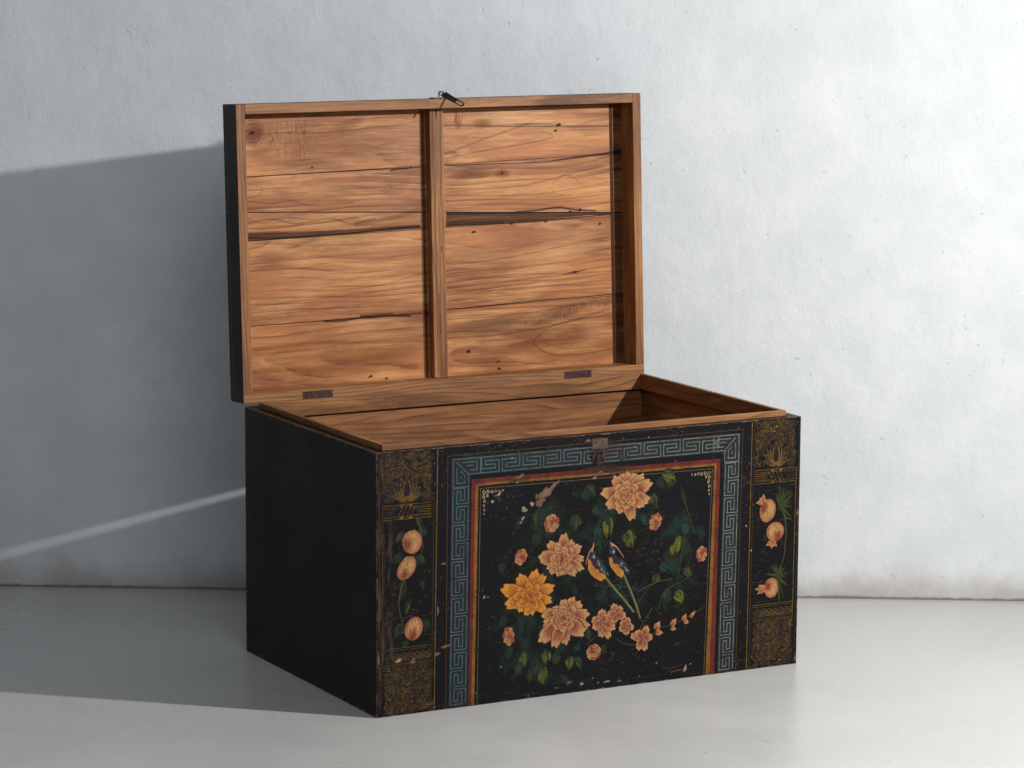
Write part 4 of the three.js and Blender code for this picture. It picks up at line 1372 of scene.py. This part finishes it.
losses = Coat("paint_losses", ground_shade, 60)
chip, chip_pale, chip_dull = colour("80604c"), colour("ac9880"), colour("4d443c")
for place, radius_x, radius_z, turn, tint in (
    ((-118, 424), 27, 10, 44, chip), ((-96, 441), 10, 4, 30, chip), ((-131, 406), 14, 8, 20, chip),
    ((-150, 404), 7, 5, 0, chip_pale), ((-140, 420), 5, 3, 60, chip), ((-168, 394), 10, 7, 10, chip_pale),
    ((-171, 376), 8, 3, 50, chip_pale), ((-176, 368), 4, 3, 0, chip_pale), ((-180, 462), 12, 5, 20, chip),
    ((-184, 452), 5, 3, 10, chip_pale), ((-226, 431), 7, 4, 30, chip_pale),
    ((-241, 417), 6, 4, 0, chip_pale), ((-234, 428), 4, 2, 0, chip), ((-88, 452), 4, 3, 0, chip),
    ((10, 457), 6, 3, 0, chip_pale), ((-4, 446), 8, 2.5, 20, chip_pale),
    ((-259, 222), 5, 3, 70, chip_pale), ((-250, 221), 3, 2, 0, chip), ((-364, 205), 3, 9, 0, chip),
    ((-352, 300), 6, 2, 10, chip), ((-366, 116), 7, 5, 0, chip), ((-346, 130), 12, 3.5, 5, chip),
    ((-420, 108), 8, 6, 20, chip), ((-452, 112), 9, 6, 20, chip_pale), ((220, 20), 9, 5, 60, chip_pale),
    ((200, 18), 16, 1.2, 2, chip), ((150, 40), 4, 2, 0, chip), ((30, 14), 9, 3, 0, chip_pale),
    ((60, 12), 5, 3, 0, chip), ((-30, 16), 8, 3, 0, chip_pale), ((-60, 22), 7, 3, 10, chip),
    ((-90, 14), 5, 2, 0, chip), ((380, 258), 3, 3, 0, chip_pale), ((366, 312), 3, 3, 0, chip_pale),
    ((496, 330), 3, 9, 0, chip), ((10, 146), 4, 4, 0, chip_pale), ((-20, 524), 9, 3, 0, chip),
    ((497, 12), 4, 9, 0, chip), ((-497, 120), 3, 14, 0, chip), ((434, 284), 5, 3, 40, chip_pale),
):
    small = 0.72 if tint is chip_pale else 0.9
    outline = blob(place, radius_x * small, radius_z * small, turn, 0.42, round(place[0] * 3 + place[1]), 26)
    losses.patch(outline, blend_tint(tint, black, 0.55), tint, 20)

# A bare place at the top edge, with two small holes
bare_tint = colour("584a3e")
bare_place = [
    (-11, 506), (-10, 516), (-11.5, 526.5), (8, 527.5), (27, 526.5), (26, 516), (27.5, 506.5), (8, 505),
]
losses.patch(bare_place, bare_tint, bare_tint, 26)
for spot in ((-3.4, 519.3), (15, 519.8)):
    losses.patch(blob(spot, 2.2, 2.0, 0, 0.1, 3, 12), black, black, 28)
draw = random.Random(9)
for number in range(110):
    x = draw.uniform(-492, 492)
    z = draw.choice((draw.uniform(6, 530), draw.uniform(3, 30), draw.uniform(500, 533)))
    size = draw.uniform(0.4, 1.2)
    tint = draw.choice((chip, chip_pale, chip_dull, chip_dull))
    outline = blob((x, z), size * draw.uniform(1, 2.4), size, draw.uniform(0, 90), 0.25, number, 9)
    losses.patch(outline, tint, tint, 26)

for coat in (
    navy, shade, bands, lines, fret, scrolls, leaves, side_leaves, peonies, blossoms, birds, fruit, rubs,
    losses,
):
    coat.finish_piece()

# Marks on the lid's inner boards: open joints, bark, knots, stains and grain figures

wood_marks = Coat("lid_board_marks", wood_stain, 60, "lid_board_4")
gap_tint, bark, umber = colour("1e0f09"), colour("4a2712"), colour("76401e")
brown, grey_brown, honey = colour("7e4622"), colour("805a42"), colour("f2b680")

# Painted shade: dark films where the rims and the batten shade the boards, under the rim and beside the batten,
# and a denser painted shadow by the right rim that widens its cast shadow
painted_corner_shade, deep_shade = colour("2c1508"), colour("441c02")
for path, width, tint, share in (
    ([(468, 300), (468, 0), (468, -302)], 22, painted_corner_shade, 0.45),
    ([(-31, 300), (-32, 0), (-32, -302)], 12, painted_corner_shade, 0.45),
    ([(-456, 303), (0, 303), (478, 299)], 12, painted_corner_shade, 0.3),
    ([(452.5, 300), (453, 0), (454, -302)], 9, deep_shade, 0.94),
):
    wood_marks.smear(path, width, faded(tint, share), 1, None, 0.92)

# Broad pale and dull places
for spot, radius_x, radius_z, turn, tint, share in (
    ((-250, 240), 190, 50, 0, brown, 0.3), ((-250, -245), 190, 50, 2, brown, 0.3),
    ((240, -245), 170, 46, 2, brown, 0.16), ((200, 271), 145, 17, -1, honey, 0.75),
    ((300, -36), 140, 34, 3, honey, 0.55), ((120, -30), 90, 26, 2, honey, 0.3),
    ((340, 0), 100, 22, 3, honey, 0.3), ((-300, -78), 60, 30, 5, honey, 0.4),
    ((-290, 130), 70, 18, 0, honey, 0.4), ((-150, -10), 130, 22, 2, honey, 0.28),
    ((330, 215), 110, 22, -3, honey, 0.2), ((220, 110), 120, 22, 2, honey, 0.22),
    ((350, 130), 70, 22, 2, honey, 0.25), ((130, -190), 130, 22, 5, grey_brown, 0.6),
    ((300, -176), 120, 16, 12, grey_brown, 0.5), ((-410, 230), 40, 60, 0, umber, 0.18),
    ((90, 150), 60, 16, 2, umber, 0.4), ((170, 148), 22, 13, 0, umber, 0.55),
    ((120, 262), 28, 14, 0, umber, 0.4), ((60, 268), 12, 22, 0, umber, 0.35),
    ((-100, -232), 120, 20, 2, umber, 0.16), ((-330, 190), 100, 10, 2, umber, 0.2),
    ((-210, 268), 46, 16, 20, umber, 0.25), ((80, -120), 60, 14, 4, umber, 0.22),
    ((-400, -20), 60, 26, 0, umber, 0.22), ((400, -208), 50, 34, 0, honey, 0.18),
):
    outline = blob(spot, radius_x, radius_z, turn, 0.16, round(spot[0] + spot[1]), 26)
    wood_marks.patch(outline, faded(tint, 0.0), faded(tint, share), 2)

# Torn pale wood under the upper rim, and short upright chips beside it
draw = random.Random(27)
torn_wood = colour("ffd8aa")
for number in range(26):
    x, up, long = draw.uniform(90, 262), draw.uniform(259, 287), draw.uniform(24, 90)
    path = [(x, up), (min(300, x + long / 2), up + draw.uniform(-1.5, 1.5)),
            (min(306, x + long), up + draw.uniform(-2, 2))]
    width, tint = draw.uniform(2.5, 8), faded(torn_wood, draw.uniform(0.12, 0.4))
    wood_marks.smear(path, width, tint, 3, draw.uniform(2, 6), 0.3)
for number in range(16):
    x = draw.uniform(28, 96)
    tint = draw.choice((honey, honey, umber, bark))
    path = [(x, 292), (x + draw.uniform(-2, 2), 278), (x + draw.uniform(-2, 2), draw.uniform(262, 270))]
    wood_marks.smear(path, draw.uniform(2, 5), faded(tint, draw.uniform(0.2, 0.5)), 3, 2, 0.3)

# Soft bands of darker late wood
for path, width, tint, share in (
    ([(-454, -210), (-300, -205), (-180, -211), (-39, -215)], 9, umber, 0.6),
    ([(-452, -256), (-330, -262), (-200, -270), (-52, -272)], 16, umber, 0.4),
    ([(-454, -222), (-250, -216)], 6, umber, 0.3),
    ([(-456, 63), (-400, 70), (-340, 58), (-260, 66), (-210, 52), (-150, 60)], 5, umber, 0.7),
    ([(-456, 74), (-420, 62), (-372, 72), (-300, 64)], 3, umber, 0.6),
    ([(-456, 112), (-400, 104), (-350, 108), (-300, 94), (-200, 98)], 4, umber, 0.6),
    ([(-456, 150), (-420, 138), (-430, 122), (-456, 118)], 3, umber, 0.5),
    ([(-320, 150), (-200, 152), (-60, 146)], 5, umber, 0.25),
    ([(-456, -120), (-360, -112), (-200, -104), (-39, -92)], 3.4, umber, 0.5),
    ([(-380, -84), (-250, -92), (-140, -86), (-39, -66)], 3, umber, 0.55),
    ([(-300, -14), (-180, -26), (-90, -24), (-39, -18)], 3, umber, 0.45),
    ([(-330, -40), (-240, -30), (-150, -38), (-39, -26)], 3, umber, 0.35),
    ([(-456, -140), (-300, -132), (-150, -124), (-39, -116)], 4, umber, 0.35),
    ([(-456, 20), (-300, 10), (-150, 4), (-39, 8)], 3, umber, 0.35),
    ([(26, 196), (110, 222), (190, 244), (250, 262)], 6, umber, 0.5),
    ([(26, 186), (120, 200), (240, 214), (300, 226), (270, 240)], 3.4, umber, 0.6),
    ([(26, 120), (110, 116), (210, 118), (280, 128), (370, 146), (448, 156)], 4, umber, 0.55),
    ([(26, 104), (180, 98), (290, 100), (448, 118)], 3, umber, 0.5),
    ([(26, 92), (160, 90), (300, 84), (448, 92)], 3.4, umber, 0.6),
    ([(26, 82), (200, 78), (330, 70), (448, 74)], 3, umber, 0.5),
    ([(300, 122), (330, 138), (360, 128), (370, 112)], 2.4, umber, 0.6),
    ([(294, 112), (310, 96), (350, 92)], 2.4, umber, 0.5),
    ([(26, -52), (150, -44), (240, -34), (340, -20), (448, -6)], 3, umber, 0.55),
    ([(26, -34), (150, -26), (300, -6), (448, 14)], 2.6, umber, 0.4),
    ([(26, -70), (160, -66), (300, -60), (448, -56)], 3, umber, 0.45),
    ([(26, -88), (180, -80), (300, -84), (352, -82), (448, -72)], 3.2, umber, 0.6),
    ([(26, -102), (180, -96), (320, -98), (448, -90)], 3, umber, 0.45),
    ([(26, -118), (200, -112), (448, -106)], 3, umber, 0.5),
    ([(26, -132), (200, -126), (448, -122)], 3, umber, 0.45),
    ([(22, -214), (150, -214), (259, -206), (350, -192), (441, -172)], 5, umber, 0.75),
    ([(22, -172), (208, -170), (330, -160), (441, -150)], 4, umber, 0.6),
    ([(240, -238), (270, -212), (330, -196), (448, -184)], 3.6, brown, 0.7),
    ([(238, -236), (262, -256), (300, -270), (360, -272), (448, -266)], 3.6, umber, 0.8),
    ([(250, -226), (300, -208), (380, -204), (448, -206)], 3, umber, 0.4),
    ([(270, -240), (320, -256), (400, -256), (448, -250)], 3, umber, 0.4),
    ([(26, -276), (150, -284), (210, -286), (300, -282)], 5, umber, 0.5),
    ([(26, -296), (200, -298), (448, -296)], 8, umber, 0.45),
    ([(-452, -296), (-250, -300), (-39, -298)], 10, umber, 0.4),
):
    wood_marks.smear(path, width * 1.3, faded(tint, share * 0.42), 5, None, 0.2)

# Bark and torn edges beside the narrow wedge board
wedge = [
    (26, 65), (120, 62), (212, 58), (316, 53), (450, 48),
    (450, 44), (421, 46), (316, 42), (212, 37), (120, 36), (26, 37),
]
wood_marks.patch(wedge, faded(bark, 0.6), faded(colour("5a3216"), 0.75), 8)
for path, width, tail, tint, share in (
    ([(-456, 36), (-400, 37), (-330, 35), (-212, 36), (-120, 38), (-40, 40)], 19, 7, bark, 0.85),
    ([(-456, 31), (-330, 29), (-212, 31), (-110, 36), (-39, 38)], 7, 4, gap_tint, 0.85),
    ([(-200, 50), (-120, 58), (-60, 70), (-39, 78)], 14, 18, umber, 0.35),
    ([(200, 60), (260, 62), (310, 66), (350, 60), (410, 54)], 6, 5, gap_tint, 0.8),
    ([(26, 38), (90, 39), (170, 39)], 5, 3, gap_tint, 0.7),
    ([(26, 63), (120, 60), (250, 55)], 7, 3, gap_tint, 0.55),
    ([(30, 50), (90, 52), (190, 49)], 6, 2, honey, 0.14),
    ([(26, 43), (140, 42), (260, 42)], 6, 3, bark, 0.7),
    ([(60, 57), (150, 54), (240, 51)], 3, 2, umber, 0.6),
    ([(283, 170), (360, 177), (447, 184), (481, 187)], 2.5, 11, gap_tint, 0.9),
    ([(-281, -159), (-236, -160), (-192, -156), (-160, -157), (-131, -155), (-100, -157), (-67, -159)], 5,
     5, gap_tint, 0.85),
    ([(-192, -152), (-150, -152), (-110, -151)], 7, 3, bark, 0.8),
    ([(-110, 164), (-96, 167), (-77, 167), (-60, 168)], 5, 2, gap_tint, 0.95),
):
    wood_marks.smear(path, width, faded(tint, share * 0.8), 12, tail, 0.3)

# Joint lines and cracks
for path, width, tail, tint, share in (
    ([(-455, 162.8), (-300, 165.5), (-150, 168), (-37, 168.8)], 1.6, 2.0, gap_tint, 0.8),
    ([(28, 170), (130, 170.5), (284, 169.6)], 1.8, 1.2, gap_tint, 0.7),
    ([(26, 259), (200, 252), (448, 245.6)], 1.2, 1.2, bark, 0.8),
    ([(-457, 87.2), (-250, 79), (-32, 69.3)], 2.0, 2.2, gap_tint, 0.95),
    ([(26.6, 66.8), (250, 57), (450, 48), (479, 48.3)], 2.8, 3.4, gap_tint, 0.95),
    ([(-456, 25.6), (-250, 30.5), (-38, 36.3)], 2.2, 2.4, gap_tint, 0.9),
    ([(25, 36), (200, 36.4), (450, 44)], 2.2, 2.0, gap_tint, 0.85),
    ([(-457, -159.4), (-250, -157), (-38, -154.1)], 1.4, 1.8, gap_tint, 0.85),
    ([(24, -150), (268, -142.7), (447, -139.3), (476, -138.9)], 2.0, 2.0, gap_tint, 0.85),
):
    wood_marks.stroke(path, width, faded(tint, share), 20, tail)

# Knots, nails and the short marks of a blunt plane
for x, up, size in (
    (-440, 257, 5.0), (352, -83, 4.0), (169, 149, 2.6), (-300, 178, 2.2), (-60, 170, 2.0),
    (-170, -287, 3.4), (75, -247, 4.0), (152, -291, 3.2), (150, -275, 2.8), (368, 58, 3.4),
    (342, 55, 2.8), (279, 36, 3.2), (191, 35, 3.4), (-131, -294, 2.6), (316, 252, 4.6), (308, 240, 3.0),
    (94, 20, 3.4), (420, 24, 3.0),
):
    outline = blob((x, up), size * 1.5, size * 0.9, 10, 0.25, round(x), 14)
    wood_marks.patch(outline, faded(bark, 0.5), faded(gap_tint, 0.95), 24)
for ring, share in ((12, 0.2), (19, 0.24), (27, 0.2)):
    loop = [around((-438, 256), ring, angle, 1.05) for angle in range(-125, 126, 18)]
    wood_marks.smear(loop, 5, faded(colour("6e3418"), share), 22, None, 0.3)
knot_shade = blob((-436, 256), 22, 26, 0, 0.1, 5, 20)
wood_marks.patch(knot_shade, faded(colour("7c3c1c"), 0.15), faded(colour("6e3216"), 0.45), 21)
for side in (-1, 1):
    tail_path = [(352 + side * 3, -83), (352 + side * 16, -83 + side * 2), (352 + side * 34, -82 + side * 5)]
    wood_marks.smear(tail_path, 6, faded(umber, 0.7), 22, 1.5, 0.4)

# Short strokes round the large knot, on the wedge of torn grain and over all the boards
draw = random.Random(21)
for number in range(120):
    x, up = draw.uniform(-400, -286), draw.uniform(206, 292)
    if abs(x + 345) / 56 + abs(up - 250) / 62 < 1.2:
        tint = draw.choice((honey, honey, umber, brown))
        path = [(x, up), (x + draw.uniform(-2, 1.5), up - draw.uniform(5, 9)),
                (x + draw.uniform(-4, 3), up - draw.uniform(12, 22))]
        wood_marks.smear(path, draw.uniform(1.6, 3.4), faded(tint, draw.uniform(0.2, 0.5)), 26, 0.8, 0.2)
for number in range(60):
    share = draw.random()
    x, up = 170 + 270 * share, -214 + 52 * share + draw.uniform(-4, 20)
    path = [(x, up), (x + 3, up + draw.uniform(8, 14))]
    width, tint = draw.uniform(2.0, 4.5), faded(draw.choice((umber, honey)), draw.uniform(0.15, 0.4))
    wood_marks.smear(path, width, tint, 26, 1.5, 0.3)
for number in range(150):
    x, up = draw.choice((draw.uniform(-450, -42), draw.uniform(30, 445))), draw.uniform(-298, 296)
    long = draw.uniform(20, 90)
    start, end = x - long / 2, x + long / 2
    path = [(start, up), (x, up + draw.uniform(-1.5, 1.5)), (end, up + long * 0.03)]
    if -452 < start and end < 446 and not -38 < start < 28 and not -38 < end < 28:
        wood_marks.smear(path, draw.uniform(1.0, 2.4), faded(umber, draw.uniform(0.12, 0.4)), 15, 0.8, 0.2)
wood_marks.finish_piece()

# A check and dark edges on the batten's face

batten_marks = Coat("batten_marks", wood_stain, 60, "lid_batten")
for path, width, tail, tint, share in (
    ([(-5, 300), (-5.5, 284), (-4.5, 268)], 7, 1, gap_tint, 0.9),
    ([(-14, 300), (-13, 100), (-13, -290)], 3, 3, umber, 0.5),
    ([(6, 300), (5, 120), (6, -100), (5, -296)], 3, 4, umber, 0.35),
    ([(-3, 120), (-2, -40), (-4, -200)], 2, 3, umber, 0.4),
    ([(-8, -110), (-6, -200), (-4, -296)], 10, 14, umber, 0.3), ([(2, -8), (1, -20)], 5, 2, bark, 0.6),
):
    batten_marks.smear(path, width, faded(tint, share), 4, tail, 0.3)
batten_marks.finish_piece()


# Stage

floor_drop = 0.5 * MM
wall_rise = 2.9
wall_foot = (0.2791, 0.5622)
wall_turn = math.atan2(-1.2369, 2.0672)
trowel_stretch = (26.0, 13.0, 1.0)


def stage_plane(name, size, place, turn, finish_plane):
    """A plane of the surroundings, seen from its front only."""
    bpy.ops.object.select_all(action="DESELECT")
    bpy.ops.mesh.primitive_plane_add(size=size, location=place, rotation=turn)
    plane = bpy.context.active_object
    plane.name = name
    made, tree, shader = material(name + " finish")
    finish_plane(tree, shader)
    clear = tree.nodes.new("ShaderNodeBsdfTransparent").outputs[0]
    behind = tree.nodes.new("ShaderNodeNewGeometry").outputs["Backfacing"]
    shown = node(tree, "ShaderNodeMixShader", None, i0=behind, i1=shader.outputs[0], i2=clear).outputs[0]
    feed(tree.nodes["Material Output"].inputs["Surface"], shown)
    plane.data.materials.append(made)


def limewash(tree, shader):
    """Rough whitewashed plaster: slow lumps, brush marks, small dents and scars, and a dirty foot."""
    place = object_place(tree)
    lumps = noise(place, 6.0, 6.0, 0.6)
    trowel = noise(stretch(place, trowel_stretch), 1.0, 4.0, 0.6)
    grit = noise(place, 130.0, 3.0, 0.6)
    dents = use(tree, speck_group, Place=place, Scale=55.0, Spread=0.73)["Mask"]
    scars = step(noise(stretch(place, trowel_stretch), 1.0, 6.0, 0.7, 0.8), 0.665, 0.68)
    base = mix(step(lumps, 0.3, 0.75), colour("d9dcde"), colour("e4e6e8"))
    base = glaze(base, "a8a6a2", dents, 0.22)
    base = glaze(base, "c6c4c0", scars, 0.16)
    rise = plus(axes_of(place)[1], wall_rise)
    foot = plus(rise, times(minus(lumps, 0.5), 0.12))
    base = mix(step(foot, 0.0, 0.085, 0.5, 0.0), base, colour("947a60"))
    joint = plus(rise, times(trowel, 0.012))
    base = mix(step(joint, 0.008, 0.014, 0.75, 0.0), base, colour("5f5347"))
    height = plus(times(lumps, 1.0), times(trowel, 0.26))
    height = plus(height, times(grit, 0.12))
    height = minus(height, times(dents, 0.3))
    height = plus(height, times(scars, 0.16))
    dress(shader, Base_Color=base, Roughness=0.8, Normal=bump(height, 0.45, 0.01))


def painted_concrete(tree, shader):
    """Smooth pale floor with faint clouds, pits and a slight shine."""
    place = object_place(tree)
    cloud = noise(place, 1.7, 6.0, 0.62)
    base = mix(step(cloud, 0.3, 0.7), colour("bab9b6"), colour("c3c2bf"))
    dirt = use(tree, speck_group, Place=place, Scale=48.0, Spread=0.715)["Mask"]
    dress(shader, Base_Color=glaze(base, "8d8c88", dirt, 0.4), Specular_IOR_Level=0.6,
          Roughness=step(cloud, 0.3, 0.7, 0.24, 0.34),
          Normal=bump(noise(place, 9.0, 4.0, 0.55), 0.12, 0.01))


stage_plane("floor", 16, (0, 0, -floor_drop), (0, 0, 0), painted_concrete)
stage_plane("backdrop", 6, (*wall_foot, wall_rise), (math.pi / 2, 0, wall_turn), limewash)
